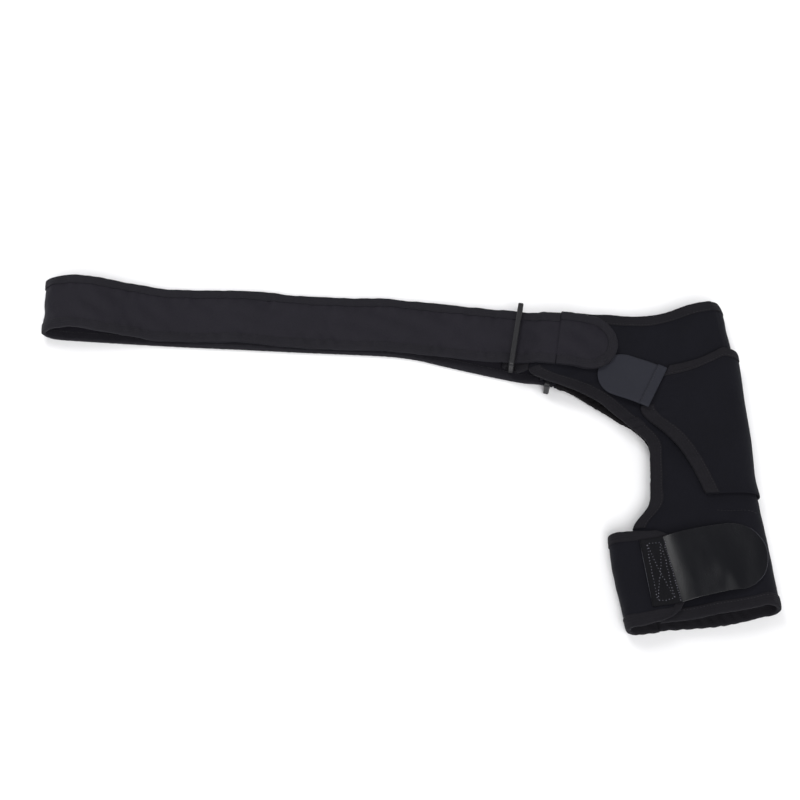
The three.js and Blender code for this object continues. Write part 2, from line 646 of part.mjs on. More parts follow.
// The chest strap in three lengths that are seamed end to end, each with its binding.
function strapPieces() {
  const curve = pathCurve(STRAP_PATH);
  const length = curve.getLength();
  const half = STRAP_WIDTH / 2;
  const inner = half - STRAP_TAPE_LEG;
  const sharpest = THREE.MathUtils.degToRad(11);
  const seam = STRAP_END_LENGTH;
  const bodyStations = stations(curve, seam + 2 * GAP, length - seam - 2 * GAP, 30, sharpest);
  const body = ribbonSurface(curve, bodyStations, (s) => {
    const inset = read(STRAP_GATHER, "from", "inset", s);
    return [-half, -inner, inner - inset, half - inset];
  });
  const frontStations = [...tipStations(half, 6), ...stations(curve, half, seam, 14, sharpest).slice(1)];
  const frontEnd = ribbonSurface(curve, frontStations, (s) => roundTip(half, s));
  const backStations = frontStations.map((s) => length - s).reverse();
  const backEnd = ribbonSurface(curve, backStations, (s) => roundTip(half, length - s));
  const bodyRows = range(0, body.points.length - 1);
  const bodyTape = (from, to) => {
    const strip = gridStrip(body, bodyRows.map((i) => [i, from]), bodyRows.map((i) => [i, to]));
    return tapeGeometry(strip, STRAP_WALL);
  };
  const endTape = (surface, edge) => {
    return tapeGeometry(squareStrip(surface, edge, STRAP_TAPE_LEG, -1), STRAP_WALL);
  };
  const endRows = range(0, frontEnd.points.length - 1);
  const toTip = endRows.toReversed();
  const roundFront = [...toTip.map((i) => [i, 1]), ...endRows.map((i) => [i, 0])];
  const roundBack = [...endRows.map((i) => [i, 0]), ...toTip.map((i) => [i, 1])];
  return [
    piece("chest_strap", sheetGeometry(body, STRAP_WALL), STRAP_KNIT),
    piece("strap_binding_near", bodyTape(0, 1), KNIT_TAPE),
    piece("strap_binding_far", bodyTape(3, 2), KNIT_TAPE),
    piece("strap_front_end", sheetGeometry(frontEnd, STRAP_WALL), STRAP_KNIT),
    piece("front_end_binding", endTape(frontEnd, roundFront), KNIT_TAPE),
    piece("strap_back_end", sheetGeometry(backEnd, STRAP_WALL), STRAP_KNIT),
    piece("back_end_binding", endTape(backEnd, roundBack), KNIT_TAPE),
  ];
}

// Hook tab of the cuff: square at its sewn end, round at its free end.
function armTab() {
  const curve = pathCurve(ARM_TAB_PATH);
  const length = curve.getLength();
  const half = HOOK_TAB.width / 2;
  const straight = stations(curve, 0, length - half, 12, 0.2);
  const tip = tipStations(half, 7).slice(0, -1).map((s) => length - s).reverse();
  const surface = ribbonSurface(curve, [...straight, ...tip], (s) => roundTip(half, length - s));
  return piece("arm_tab", sheetGeometry(surface, HOOK_TAB.wall), GLOSS_TAB);
}

// Grey tab that closes the pocket, with the sewn hem across its wide end.
function pocketTabPieces() {
  const curve = pathCurve(POCKET_TAB_PATH);
  const length = curve.getLength();
  const half = POCKET_TAB.width / 2;
  const straight = stations(curve, 0, length - half, 10, 0.2);
  const tip = tipStations(half, 6).slice(0, -1).map((s) => length - s).reverse();
  const acrossTab = (s) => roundTip(half, length - s);
  const surface = tiltedRibbon(curve, [...straight, ...tip], acrossTab, 0);
  const hemLift = POCKET_TAB.wall / 2 + GAP + POCKET_TAB.hemWall / 2;
  const hem = tiltedRibbon(curve, [0, POCKET_TAB.hem], () => [-half - 0.4, half + 0.4], hemLift);
  return [
    piece("pocket_tab", sheetGeometry(surface, POCKET_TAB.wall), GREY_TAB),
    piece("pocket_tab_hem", sheetGeometry(hem, POCKET_TAB.hemWall), GREY_TAB),
  ];
}

// A ribbon that runs at an angle over the plan, square across its own direction and raised off its curve.
function tiltedRibbon(curve, distances, offsets, raise) {
  const length = curve.getLength();
  const rows = distances.map((s) => {
    const centre = curve.getPointAt(clamp01(s / length));
    const tangent = curve.getTangentAt(clamp01(s / length));
    const side = new THREE.Vector3(0, 0, 1).cross(tangent).normalize();
    const up = new THREE.Vector3().crossVectors(tangent, side).normalize();
    const middle = centre.addScaledVector(up, raise);
    return offsets(s).map((offset) => middle.clone().addScaledVector(side, offset));
  });
  return withNormals(rows);
}

function roundedRectangle(target, width, height, corner) {
  const x = width / 2 - corner;
  const y = height / 2 - corner;
  target.absarc(x, y, corner, 0, Math.PI / 2);
  target.absarc(-x, y, corner, Math.PI / 2, Math.PI);
  target.absarc(-x, -y, corner, Math.PI, 1.5 * Math.PI);
  target.absarc(x, -y, corner, 1.5 * Math.PI, 2 * Math.PI);
  return target;
}

// Rectangular ring that stands across the strap: a bar above, a bar below and two short sides.
function ringGeometry() {
  const { length, height, wire, depth, corner, holeCorner } = RING;
  const bevel = 0.7;
  const rectangle = (target, inset, radius) => {
    return roundedRectangle(target, length - 2 * inset, height - 2 * inset, radius);
  };
  const shape = rectangle(new THREE.Shape(), bevel, corner - bevel);
  shape.holes.push(rectangle(new THREE.Path(), wire - bevel, holeCorner + bevel));
  const geometry = new THREE.ExtrudeGeometry(shape, {
    depth: depth - 2 * bevel,
    curveSegments: 4,
    bevelThickness: bevel,
    bevelSize: bevel,
    bevelSegments: 1,
  });
  geometry.translate(0, 0, -(depth / 2 - bevel));
  geometry.rotateX(Math.PI / 2);
  geometry.rotateZ(Math.PI / 2);
  geometry.translate(0, 0, height / 2);
  return geometry;
}

// Tail of neoprene that goes round one bar of a ring. A row is a line along the bar: how far past its
// middle, how far above it, and how far the tail reaches to its near and far side.
function ringLoop(table, barHeight) {
  const rows = table.map(({ past, above, near, far }) => {
    return [-near, far].map((along) => new THREE.Vector3(past, along, barHeight + above));
  });
  return sheetGeometry(withNormals(rows), LOOP_WALL);
}

const FRONT_LOOP = [
  { past: 16.4, above: 10.1, near: 31.2, far: 28.4 },
  { past: 11, above: 7.4, near: 33.6, far: 28.6 },
  { past: 6, above: 4.9, near: 34.4, far: 28.8 },
  { past: 2.9, above: 3.6, near: 29, far: 29 },
  { past: 0, above: 3.5, near: 28.9, far: 28.9 },
  { past: -4, above: 3, near: 28.9, far: 28.9 },
  { past: -6.4, above: 1.2, near: 28.9, far: 28.9 },
  { past: -6.4, above: -1.2, near: 28.9, far: 28.9 },
  { past: -4, above: -3, near: 28.9, far: 28.9 },
  { past: 0, above: -3.5, near: 28.9, far: 28.9 },
  { past: 8, above: -3.4, near: 31.6, far: 28.6 },
];
const BACK_LOOP = [
  { past: 8.9, above: 1.5, near: 27.8, far: 27.8 },
  { past: 4, above: 3.2, near: 28, far: 28 },
  { past: 0, above: 3.5, near: 28.4, far: 28.4 },
  { past: -4, above: 3, near: 28.4, far: 28.4 },
  { past: -6.4, above: 1.2, near: 28.4, far: 28.4 },
  { past: -6.4, above: -1.2, near: 28.4, far: 28.4 },
  { past: -4, above: -3, near: 28.4, far: 28.4 },
  { past: 0, above: -3.5, near: 28.4, far: 28.4 },
  { past: 7, above: -3.9, near: 28, far: 28 },
  { past: 12, above: -5.2, near: 27.6, far: 27.6 },
];

// A ring with the loop that holds it, turned to stand square to its strap.
function ringGroup(prefix, ring, table, heldBar) {
  const group = new THREE.Group();
  const hoop = piece(`${prefix}_ring`, ringGeometry(), RING_PLASTIC);
  hoop.position.z = ring.bottom;
  const barHeight = ring.bottom + (heldBar === "lower" ? RING.wire / 2 : RING.height - RING.wire / 2);
  group.add(hoop, piece(`${prefix}_ring_loop`, ringLoop(table, barHeight), NEOPRENE));
  group.position.set(ring.x, ring.y, 0);
  group.rotation.z = THREE.MathUtils.degToRad(-ring.turn);
  return group;
}

const brace = new THREE.Group();
brace.add(...shellPieces(), ...pocketPieces(), ...bandPieces(), ...strapPieces());
brace.add(armTab(), ...pocketTabPieces());
brace.add(ringGroup("front", FRONT_RING, FRONT_LOOP, "lower"));
brace.add(ringGroup("back", BACK_RING, BACK_LOOP, "upper"));

// The part's origin is the middle of its footprint, on the table.
const bounds = new THREE.Box3().setFromObject(brace);
const middle = bounds.getCenter(new THREE.Vector3());
brace.position.set(-middle.x, -middle.y, -bounds.min.z);

const root = new THREE.Group();
root.add(brace);
export default root;
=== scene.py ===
"""Single-shoulder brace of black neoprene, lying folded flat on a pale table.

The plan's tables are in millimetres, with X along the strap, Y away from the cuff and Z up. SHIFT moves the
plan into the CAD frame, and everything is written to Blender in metres.
"""

import math

import bpy
import numpy as np
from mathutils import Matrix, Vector


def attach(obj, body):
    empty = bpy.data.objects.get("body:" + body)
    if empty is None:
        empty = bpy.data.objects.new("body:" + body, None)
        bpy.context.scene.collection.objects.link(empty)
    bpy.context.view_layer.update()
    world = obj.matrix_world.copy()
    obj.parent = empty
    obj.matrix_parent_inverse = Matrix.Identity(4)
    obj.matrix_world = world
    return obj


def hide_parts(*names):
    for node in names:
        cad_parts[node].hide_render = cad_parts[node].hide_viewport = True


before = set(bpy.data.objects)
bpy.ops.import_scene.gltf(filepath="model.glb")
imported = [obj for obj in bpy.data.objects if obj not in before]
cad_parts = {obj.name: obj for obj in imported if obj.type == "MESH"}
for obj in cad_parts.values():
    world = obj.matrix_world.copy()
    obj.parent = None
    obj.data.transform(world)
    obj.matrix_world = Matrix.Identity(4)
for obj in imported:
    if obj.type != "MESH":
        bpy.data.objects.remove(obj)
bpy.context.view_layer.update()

SHIFT = np.array([2.889, 56.121, 0.003])
SHELL_WALL = 2.5
STRAP_WALL = 2.2
POCKET_WALL = 2.0
LOOP_WALL = 1.8
TAPE_WALL = 0.6
GAP = 0.3
TAPE_LEG = 10
POCKET_TAPE_LEG = 11
BAND_TAPE_LEG = 9
STRAP_TAPE_LEG = 8
STRAP_WIDTH = 54.2
STRAP_HALF = STRAP_WIDTH / 2
FOLD_RADIUS = 12
RING_HEIGHT = 19
RING_WIRE = 4.4
HOOK_TAB_WALL, HOOK_TAB_WIDTH = 1.2, 63
POCKET_TAB_WALL, POCKET_TAB_WIDTH, POCKET_HEM, POCKET_HEM_WALL = 1.4, 44, 8.5, 1.0
TAPE_PROUD = GAP + TAPE_WALL
SHELL_FLOOR = SHELL_WALL / 2 + TAPE_PROUD
STRAP_FLOOR = STRAP_WALL / 2 + TAPE_PROUD
FRONT_RING = {"x": 109.5, "y": 57.4, "turn": 9.5, "bottom": 7.4}
BACK_RING = {"x": 145, "y": 38.5, "turn": 14, "bottom": 0}
ARCH_SPAN = 85
POCKET_CORNER_ROW = 6
POCKET_FOLD_LIFT = 3.6
POCKET_BACK_REACH = 38
POCKET_TOP_BOW = -2.5
POCKET_TOP_DROOP = 6
POCKET_RAISE = 1.9
BAND_FOLD_RADIUS = 10
STRAP_END_LENGTH = 55
SEAM_GAP = 0.6
SEWN_LENGTH, ARM_TAB_LENGTH = 24.5, 111.5
FRONT_TAIL_REACH = 110
BAND_START_SHIFT = 1.3
BAND_COLUMN = 11.8
ARMPIT_ROWS = 4, 15
LAP_ROWS = 8.95, 9.5
POCKET_TOP_COLUMNS = 9
SEAM_INSET, SEAM_PITCH, SEAM_THREAD = 0.86, 3.0, 0.38
FLOOR_SIZE, FLOOR_BELOW = 34, 0.0004
LENS, SENSOR, CAMERA_TILT = 81.38, 36, 27
CAMERA_PLACE = (0.002889, -0.71566, 1.51471)
SUN_PLACE, SUN_STRENGTH, SUN_ANGLE = (0.1, -1.35, 1.9), 2.2, 36
LIGHTS = [
    ("left_behind", 0.95, 16, (-0.55, 0.92, 1.9)),
    ("right", 1.3, 4.5, (1.6, -0.62, 1.2)),
    ("above_right", 0.6, 1.1, (0.92, 0.22, 1.9)),
]


def table(columns, *rows):
    """A short table as a dictionary of columns."""
    return dict(zip(columns.split(), np.array(rows, float).T))


SHELL_ROWS = table(
    "front_x front_y back_x back_y fold_y bow dip",
    (228, -227, 228, -227, -211, 1, 0),
    (225.8, -217.2, 225.8, -217.2, -201.3, 1, 0),
    (220.2, -192, 220.2, -192, -177, 0.4, 0),
    (214.5, -165, 214.5, -165, -151, 0, 0),
    (209.5, -139.5, 209.5, -139.5, -128, 0, 0),
    (225.2, -116, 226.2, -114.5, -109, 0, 0),
    (228, -97, 230.4, -95, -88, 0, 0),
    (229.3, -73, 231.6, -71, -62, 0, 0),
    (228.6, -54.5, 231, -49, -38, 0, 0),
    (215, -38, 218.6, -33.5, -12, 0, 0),
    (201, -25.3, 203.4, -24.8, 12, 0, 0),
    (186, -11.5, 188.5, -15.4, 30, 0, 0),
    (168, -2, 172.4, -4.6, 44, 0, 0),
    (150, 5, 160.6, 1.8, 54, 0, 0.1),
    (135, 11, 152, 4.8, 62, 0, 0.25),
    (121.5, 23.5, 147.8, 9, 69, 0, 0.45),
    (125.9, 50, 155, 38, 76, 0, 0.7),
    (129.8, 73.4, 161.2, 68.3, 83, 0, 1),
    (131.5, 83.3, 163.1, 78.4, 92.9, 0, 1),
)
FOLD_LINE = table(
    "y x",
    (-211, 335), (-177, 331.5), (-137, 327), (-112, 324.5), (-98, 321.5), (-51, 319.5), (-9, 317),
    (36, 315), (55, 311.5), (82, 308), (93.3, 304.5),
)
NECK_DIP = table(
    "x dip",
    (130, 2.6), (152, 5.6), (172, 6.8), (195, 7.8), (224, 11), (240, 11), (253, 9.4), (269, 4.8),
    (285, 1.8), (304, 0),
)
CUFF_BOW = table(
    "x front back",
    (228, 0, 1.7), (253, 1.6, 4.2), (271, 1.8, 5.8), (288, 2.1, 6.5), (306, 2.1, 5.6),
    (320, 0.9, 4.4), (335, -0.8, 1.6),
)
FRONT_PROFILE = table(
    "inward height",
    (13, 24), (45, 21.5), (75, 19.2), (100, 18),
)
FRONT_TAIL_RISE = table(
    "past rise",
    (14, 1.2), (18, 2.4), (25, 4.6), (33, 6.2), (48, 6.2), (62, 4.2), (80, 1.6), (98, 0),
)
BACK_TAIL_RISE = table(
    "past rise",
    (9, 16), (15, 13.8), (24, 9), (33, 5.8), (42, 4.6), (62, 4.6), (74, 2), (88, 0),
)
CUFF_ARCH = table(
    "y arch",
    (-227, 3.6), (-190, 2.6), (-150, 1.2), (-115, 0),
)
POCKET_ROWS = table(
    "left_x left_y fold_y lift bow",
    (276, -107, -107, 3.8, 0),
    (270, -91, -90, 4.1, 0),
    (263, -75, -71, 4.6, 0),
    (254, -59, -52, 5.2, 0),
    (241.8, -44, -34, 5.6, 0),
    (227.6, -30, -18, 5.4, 0),
    (223.4, -18.6, -4, 5, 0),
    (234, -5.4, 12, 4.8, 0.4),
    (244.9, 11.5, 31.2, 4.8, 1),
    (251.5, 22.4, 39.5, 4.6, 1),
)
BAND_ROWS = table(
    "left_x left_y start_x start_y end_x end_y height",
    (199, -232, 227.2, -229.4, 229, -227.5, 24.8),
    (197.9, -228, 226.3, -225.4, 239, -222, 24.8),
    (196.5, -222, 224.9, -219, 246, -214.5, 24.8),
    (194.6, -213, 222.9, -208.5, 250, -205, 24.7),
    (191.5, -195, 219, -191, 250, -187, 24.5),
    (189.1, -178, 215, -174, 248, -170, 24.3),
    (187.9, -166, 212.2, -163.4, 246, -159, 24.2),
    (187.3, -154.5, 209.6, -152.6, 241, -150, 24),
    (187.1, -145.5, 207.6, -143.6, 229, -144, 24),
)
STRAP_PATH = table(
    "x y z",
    (203.5, 45.6, 24.9), (190, 46.4, 25.2), (178, 47.6, 26.2), (165, 49, 28.4), (152, 50.6, 29.1),
    (140, 52.4, 28.8), (131, 54, 26.8), (124, 55.4, 23.2), (117, 56.6, 20.2), (109.5, 58, 17.6),
    (97, 60, 15.2), (72, 64, 12.4), (48, 68, 10.6), (22, 72, 8.6), (-12, 77, 7), (-46, 78, 6.5),
    (-80, 79.5, 6.4), (-115, 82.5, 6.4), (-149, 86.3, 6.4), (-192, 86.8, 6.5), (-225, 87, 8),
    (-242, 88.3, 10.6), (-259, 89.5, 14.8), (-283, 91, 21.6), (-302, 92.6, 25), (-318, 93.2, 24.9),
    (-332.4, 93, 20.6), (-339.2, 92.7, 12.8), (-334, 92.3, 5.4), (-322, 91.6, 2.2), (-300, 90, 2),
    (-261, 87.3, 2), (-209, 84, 2), (-150, 81, 2), (-95, 78, 2), (-43, 75.5, 2), (-4, 73, 2),
    (22, 69, 2), (47, 62.5, 2), (72, 56, 2), (95, 50.3, 2), (108, 47.2, 2.2), (119, 44.6, 2.7),
    (128, 42.5, 4.4), (137, 40.4, 6.6), (147, 38.1, 7.2), (157, 35.8, 6), (168, 33.7, 3.4),
    (180, 31.8, 2.15), (192, 30.4, 2), (205, 29, 2),
)
STRAP_GATHER = table(
    "from_tip inset",
    (55, 2.6), (78, 3), (96, 1.2), (118, 0),
)
ARM_TAB_PATH = table(
    "x y z",
    (216.5, -185, 27.5), (228, -183.5, 27.5), (240, -181.5, 28.2), (252, -178.5, 28.5),
    (264, -175.6, 28.2), (280, -172, 27.6), (296, -169.4, 27.5), (309, -168, 27.2),
    (317, -167.6, 26.6), (322.4, -167.4, 25.6), (325.6, -167.4, 24.8),
)
POCKET_TAB_PATH = table(
    "x y z",
    (238.4, -1.2, 27.2), (230, 3, 27.1), (221, 7.5, 25.9), (211, 12.4, 23.8), (200, 17.6, 22.3),
    (186.5, 24, 21.9),
)
FRONT_LOOP = table(
    "past above near far",
    (16.4, 10.1, 31.2, 28.4), (11, 7.4, 33.6, 28.6), (6, 4.9, 34.4, 28.8), (2.9, 3.6, 29, 29),
    (0, 3.5, 28.9, 28.9), (-4, 3, 28.9, 28.9), (-6.4, 1.2, 28.9, 28.9), (-6.4, -1.2, 28.9, 28.9),
    (-4, -3, 28.9, 28.9), (0, -3.5, 28.9, 28.9), (8, -3.4, 31.6, 28.6),
)
BACK_LOOP = table(
    "past above near far",
    (8.9, 1.5, 27.8, 27.8), (4, 3.2, 28, 28), (0, 3.5, 28.4, 28.4), (-4, 3, 28.4, 28.4),
    (-6.4, 1.2, 28.4, 28.4), (-6.4, -1.2, 28.4, 28.4), (-4, -3, 28.4, 28.4), (0, -3.5, 28.4, 28.4),
    (7, -3.9, 28, 28), (12, -5.2, 27.6, 27.6),
)


def read(rows, wanted, at):
    """Reads a column of a table at values of its first, as a smooth curve through the rows."""
    given = next(iter(rows.values()))
    sign = 1 if given[1] > given[0] else -1
    xs, ys = sign * given, rows[wanted]
    x = np.clip(sign * np.asarray(at, float), xs[0], xs[-1])
    i = np.clip(np.searchsorted(xs, x, side="left") - 1, 0, len(xs) - 2)
    slopes = np.zeros(len(xs))
    slopes[1:-1] = (ys[2:] - ys[:-2]) / (xs[2:] - xs[:-2])
    span = xs[i + 1] - xs[i]
    t = (x - xs[i]) / span
    t2, t3 = t * t, t * t * t
    start = (2 * t3 - 3 * t2 + 1) * ys[i] + (t3 - 2 * t2 + t) * slopes[i] * span
    return start + (3 * t2 - 2 * t3) * ys[i + 1] + (t3 - t2) * slopes[i + 1] * span


def clamp01(value):
    return np.clip(value, 0.0, 1.0)


def unit(vectors):
    length = np.linalg.norm(vectors, axis=-1, keepdims=True)
    return vectors / np.maximum(length, 1e-9)


def bump(x, centre, width):
    """A smooth hill of height 1."""
    return np.exp(-(((x - centre) / width) ** 2))


def line(start, end, steps):
    """Places on a straight line from one place to another."""
    return np.linspace(start[0], end[0], steps), np.linspace(start[1], end[1], steps)


def edge_lines(start, end, steps, inward):
    """Places along an edge, and those a binding's leg in from it."""
    u, v = line(start, end, steps)
    return (u, v), (u + inward[0], v + inward[1])


def past_ring(ring, x, y):
    """Distance past a ring's bar, along the strap."""
    turn = math.radians(ring["turn"])
    return (x - ring["x"]) * math.cos(turn) - (y - ring["y"]) * math.sin(turn)


def gathered(s):
    """How far the strap's far edge is drawn in near its upper end."""
    return read(STRAP_GATHER, "inset", s)


def front_height(x, y):
    """Height of the front wall's middle over points of the plan."""
    inward = read(FOLD_LINE, "x", y) - x
    across = clamp01((inward - FOLD_RADIUS) / ARCH_SPAN)
    arch = read(CUFF_ARCH, "arch", y) * np.sin(np.pi * across) ** 2
    rise = read(FRONT_TAIL_RISE, "rise", past_ring(FRONT_RING, x, y))
    rise = np.where(x < FRONT_RING["x"] + FRONT_TAIL_REACH, rise, 0)
    return read(FRONT_PROFILE, "height", inward) + arch + rise


def back_height(x, y):
    """Height of the back wall's middle over points of the plan."""
    inward = read(FOLD_LINE, "x", y) - x
    along_pocket = clamp01((y + 122) / 14) * clamp01((60 - y) / 14)
    lifted = POCKET_RAISE * along_pocket * clamp01((78 - inward) / 22)
    return SHELL_FLOOR + lifted + read(BACK_TAIL_RISE, "rise", past_ring(BACK_RING, x, y))


def shares_from_edge(edge, index, target, leg, steps):
    """Shares of the way from a point of an edge to a target, the first step a binding's width in."""
    here = edge[index]
    tangent = unit(edge[min(index + 1, len(edge) - 1)] - edge[max(index - 1, 0)])
    way = target - here
    first = leg / abs(tangent[0] * way[1] - tangent[1] * way[0])
    return np.concatenate([[0], first + (1 - first) * np.linspace(0, 1, steps)])


def fold_over(top, bottom, reach, steps):
    """Half an ellipse from the top wall to the bottom wall, bulging along X. The ends are left out."""
    angle = (np.pi * np.arange(1, steps) / steps)[:, None]
    way = top + (bottom - top) * (1 - np.cos(angle)) / 2
    return way + np.array([1, 0, 0]) * reach * np.sin(angle)


def fold_centre(fold_y):
    """Centre of the round of the fold at a point of the fold line, in plan."""
    return np.array([read(FOLD_LINE, "x", fold_y) - SHELL_WALL / 2 - FOLD_RADIUS, fold_y])


def shell_grid():
    """Middle surface of the shell: across the front, round the fold and back across the underside."""
    rows = SHELL_ROWS
    edges = {side: np.stack([rows[f"{side}_x"], rows[f"{side}_y"]], 1) for side in ("front", "back")}
    grid = []
    for k, fold_y in enumerate(rows["fold_y"]):
        centre = fold_centre(fold_y)
        walls = {}
        for side, height in (("front", front_height), ("back", back_height)):
            shares = shares_from_edge(edges[side], k, centre, TAPE_LEG, 9)[:, None]
            x, y = (edges[side][k] + (centre - edges[side][k]) * shares).T
            bow = rows["bow"][k] * read(CUFF_BOW, side, x)
            y = y - rows["dip"][k] * read(NECK_DIP, "dip", x) - bow
            walls[side] = np.stack([x, y, height(x, y)], 1)
        front, back = walls["front"], walls["back"][::-1]
        grid.append(np.vstack([front, fold_over(front[-1], back[0], FOLD_RADIUS, 7), back]))
    return np.array(grid)


def pocket_grid():
    """Middle surface of the pocket panel, round the fold to its plain end behind."""
    rows = POCKET_ROWS
    edge = np.stack([rows["left_x"], rows["left_y"]], 1)
    grid = []
    for k, fold_y in enumerate(rows["fold_y"]):
        centre = fold_centre(fold_y)
        shares = shares_from_edge(edge, k, centre, POCKET_TAPE_LEG, 6)
        x, y = (edge[k] + (centre - edge[k]) * shares[:, None]).T
        y = y + rows["bow"][k] * POCKET_TOP_BOW * np.sin(np.pi * shares)
        lift = rows["lift"][k] + (POCKET_FOLD_LIFT - rows["lift"][k]) * np.sqrt(shares)
        front = np.stack([x, y, front_height(x, y) + lift], 1)
        drooped = fold_y - rows["bow"][k] * POCKET_TOP_DROOP
        reach = np.linspace(0, POCKET_BACK_REACH, 4)
        back = np.stack([centre[0] - reach, np.full(4, drooped), np.full(4, POCKET_WALL / 2)], 1)
        turn = fold_over(front[-1], back[0], FOLD_RADIUS + POCKET_FOLD_LIFT, 8)
        grid.append(np.vstack([front, turn, back]))
    return np.array(grid)


def band_grid():
    """Middle surface of the arm band: over the front, round its left turn and back underneath."""
    grid = []
    rows = BAND_ROWS
    for k, left_x in enumerate(rows["left_x"]):
        centre = np.array([left_x + SHELL_WALL / 2 + BAND_FOLD_RADIUS, rows["left_y"][k]])
        end = np.array([rows["end_x"][k], rows["end_y"][k]])
        start = np.array([rows["start_x"][k] + BAND_START_SHIFT, rows["start_y"][k]])
        top = end + (centre - end) * np.linspace(0, 1, 5)[:, None]
        under = centre + (start - centre) * np.linspace(0, 1, 3)[:, None]
        front = np.column_stack([top, np.full(5, rows["height"][k])])
        back = np.column_stack([under, np.full(3, SHELL_FLOOR)])
        grid.append(np.vstack([front, fold_over(front[-1], back[0], -BAND_FOLD_RADIUS, 10), back]))
    return np.array(grid)


class Patch:
    """A smooth surface through a grid of points, read at fractional rows and columns, with relief."""

    def __init__(self, grid, relief=None):
        padded = np.concatenate([2 * grid[:1] - grid[1:2], grid, 2 * grid[-1:] - grid[-2:-1]])
        sides = 2 * padded[:, :1] - padded[:, 1:2], 2 * padded[:, -1:] - padded[:, -2:-1]
        self.grid = np.concatenate([sides[0], padded, sides[1]], 1)
        self.relief = relief
        self.rows, self.columns = grid.shape[0] - 1, grid.shape[1] - 1

    def smooth(self, u, v):
        """The surface without its relief."""
        (i, down), (j, along) = hermite(u, self.rows), hermite(v, self.columns)
        near = [(a, b) for a in range(4) for b in range(4)]
        return sum((down[a] * along[b])[..., None] * self.grid[i + a, j + b] for a, b in near)

    def normals(self, surface, u, v):
        steps = -0.03, 0.03
        low, high = (surface(np.clip(u + step, 0, self.rows), v) for step in steps)
        left, right = (surface(u, np.clip(v + step, 0, self.columns)) for step in steps)
        return unit(np.cross(right - left, high - low))

    def point(self, u, v):
        base = self.smooth(u, v)
        if self.relief is None:
            return base
        return base + self.normals(self.smooth, u, v) * self.relief(base, u, v)[..., None]

    def frame(self, u, v):
        u, v = np.broadcast_arrays(np.asarray(u, float), np.asarray(v, float))
        return self.point(u, v), self.normals(self.point, u, v)


def hermite(t, last):
    """Index of the first of four neighbours in a padded row, and their weights."""
    i = np.clip(np.floor(t).astype(int), 0, last - 1)
    f = t - i
    f2, f3 = f * f, f * f * f
    middle = 1 - 2.5 * f2 + 1.5 * f3, 0.5 * (f + 4 * f2 - 3 * f3)
    return i, (0.5 * (2 * f2 - f - f3), *middle, 0.5 * (f3 - f2))


def distances(points):
    """Distance along a line of points."""
    return np.concatenate([[0], np.cumsum(np.linalg.norm(np.diff(points, axis=0), axis=1))])


def along_run(at, run, values):
    """Rows of values, each known at a distance of the run, read at other distances."""
    return np.stack([np.interp(at, run, values[:, k]) for k in range(3)], -1)


class Ribbon:
    """A band about a curve, read at a distance along it and an offset across it, with relief."""

    def __init__(self, rows, level, raised=0.0, relief=None):
        self.dense = centripetal(np.stack([rows["x"], rows["y"], rows["z"]], 1))
        self.distance = distances(self.dense)
        self.length = self.distance[-1]
        self.level, self.raised, self.relief = level, raised, relief

    def centre(self, s):
        return along_run(np.clip(s, 0, self.length), self.distance, self.dense)

    def axes(self, s):
        tangent = unit(self.centre(s + 1.2) - self.centre(s - 1.2))
        if self.level:
            side = np.array([0.0, 1.0, 0.0]) - tangent * tangent[..., 1:2]
            side[..., 2] = 0
            side = unit(side)
        else:
            side = unit(np.cross([0.0, 0.0, 1.0], tangent))
        return side, unit(np.cross(tangent, side))

    def smooth(self, s, offset):
        side, up = self.axes(s)
        centre = self.centre(s)
        if self.level:
            centre[..., 2] = np.maximum(centre[..., 2], STRAP_FLOOR)
        return centre + side * offset[..., None] + up * self.raised

    def point(self, s, offset):
        base = self.smooth(s, offset)
        if self.relief is None:
            return base
        return base + self.axes(s)[1] * self.relief(base, s, offset)[..., None]

    def frame(self, s, offset):
        s, offset = np.broadcast_arrays(np.asarray(s, float), np.asarray(offset, float))
        step = 0.4
        along = self.point(s + step, offset) - self.point(s - step, offset)
        across = self.point(s, offset + step) - self.point(s, offset - step)
        normal = unit(np.cross(along, across))
        up = self.axes(s)[1]
        return self.point(s, offset), np.where((normal * up).sum(-1, keepdims=True) < 0, -normal, normal)


def centripetal(points, samples=40):
    """Dense points of a centripetal Catmull-Rom curve."""
    ends = 2 * points[0] - points[1], 2 * points[-1] - points[-2]
    p = np.vstack([ends[0], points, ends[1]])
    found = []
    t = np.linspace(0, 1, samples, endpoint=False)[:, None]
    for i in range(1, len(p) - 2):
        d0, d1, d2 = (max(np.linalg.norm(p[i + k] - p[i + k - 1]) ** 0.5, 1e-4) for k in range(3))
        t1 = (p[i] - p[i - 1]) / d0 - (p[i + 1] - p[i - 1]) / (d0 + d1) + (p[i + 1] - p[i]) / d1
        t2 = (p[i + 1] - p[i]) / d1 - (p[i + 2] - p[i]) / (d1 + d2) + (p[i + 2] - p[i + 1]) / d2
        t1, t2 = t1 * d1, t2 * d1
        c2 = -3 * p[i] + 3 * p[i + 1] - 2 * t1 - t2
        c3 = 2 * p[i] - 2 * p[i + 1] + t1 + t2
        found.append(p[i] + t1 * t + c2 * t**2 + c3 * t**3)
    return np.vstack([*found, p[-2:-1]])


class Ripple:
    """Smooth seeded noise along a length or over the plan, as a sum of sines."""

    def __init__(self, seed, size, waves=9):
        draw = np.random.default_rng(seed)
        angle = draw.uniform(0, 2 * np.pi, waves)
        rate = 2 * np.pi / (size * draw.uniform(0.65, 1.7, waves))
        self.kx, self.ky = rate * np.cos(angle), rate * np.sin(angle)
        self.rate, self.phase = rate, draw.uniform(0, 2 * np.pi, waves)
        self.scale = 1 / math.sqrt(waves / 2) / 1.6

    def along(self, s):
        return np.sin(s[..., None] * self.rate + self.phase).sum(-1) * self.scale

    def over(self, x, y):
        waves = np.sin(x[..., None] * self.kx + y[..., None] * self.ky + self.phase)
        return waves.sum(-1) * self.scale


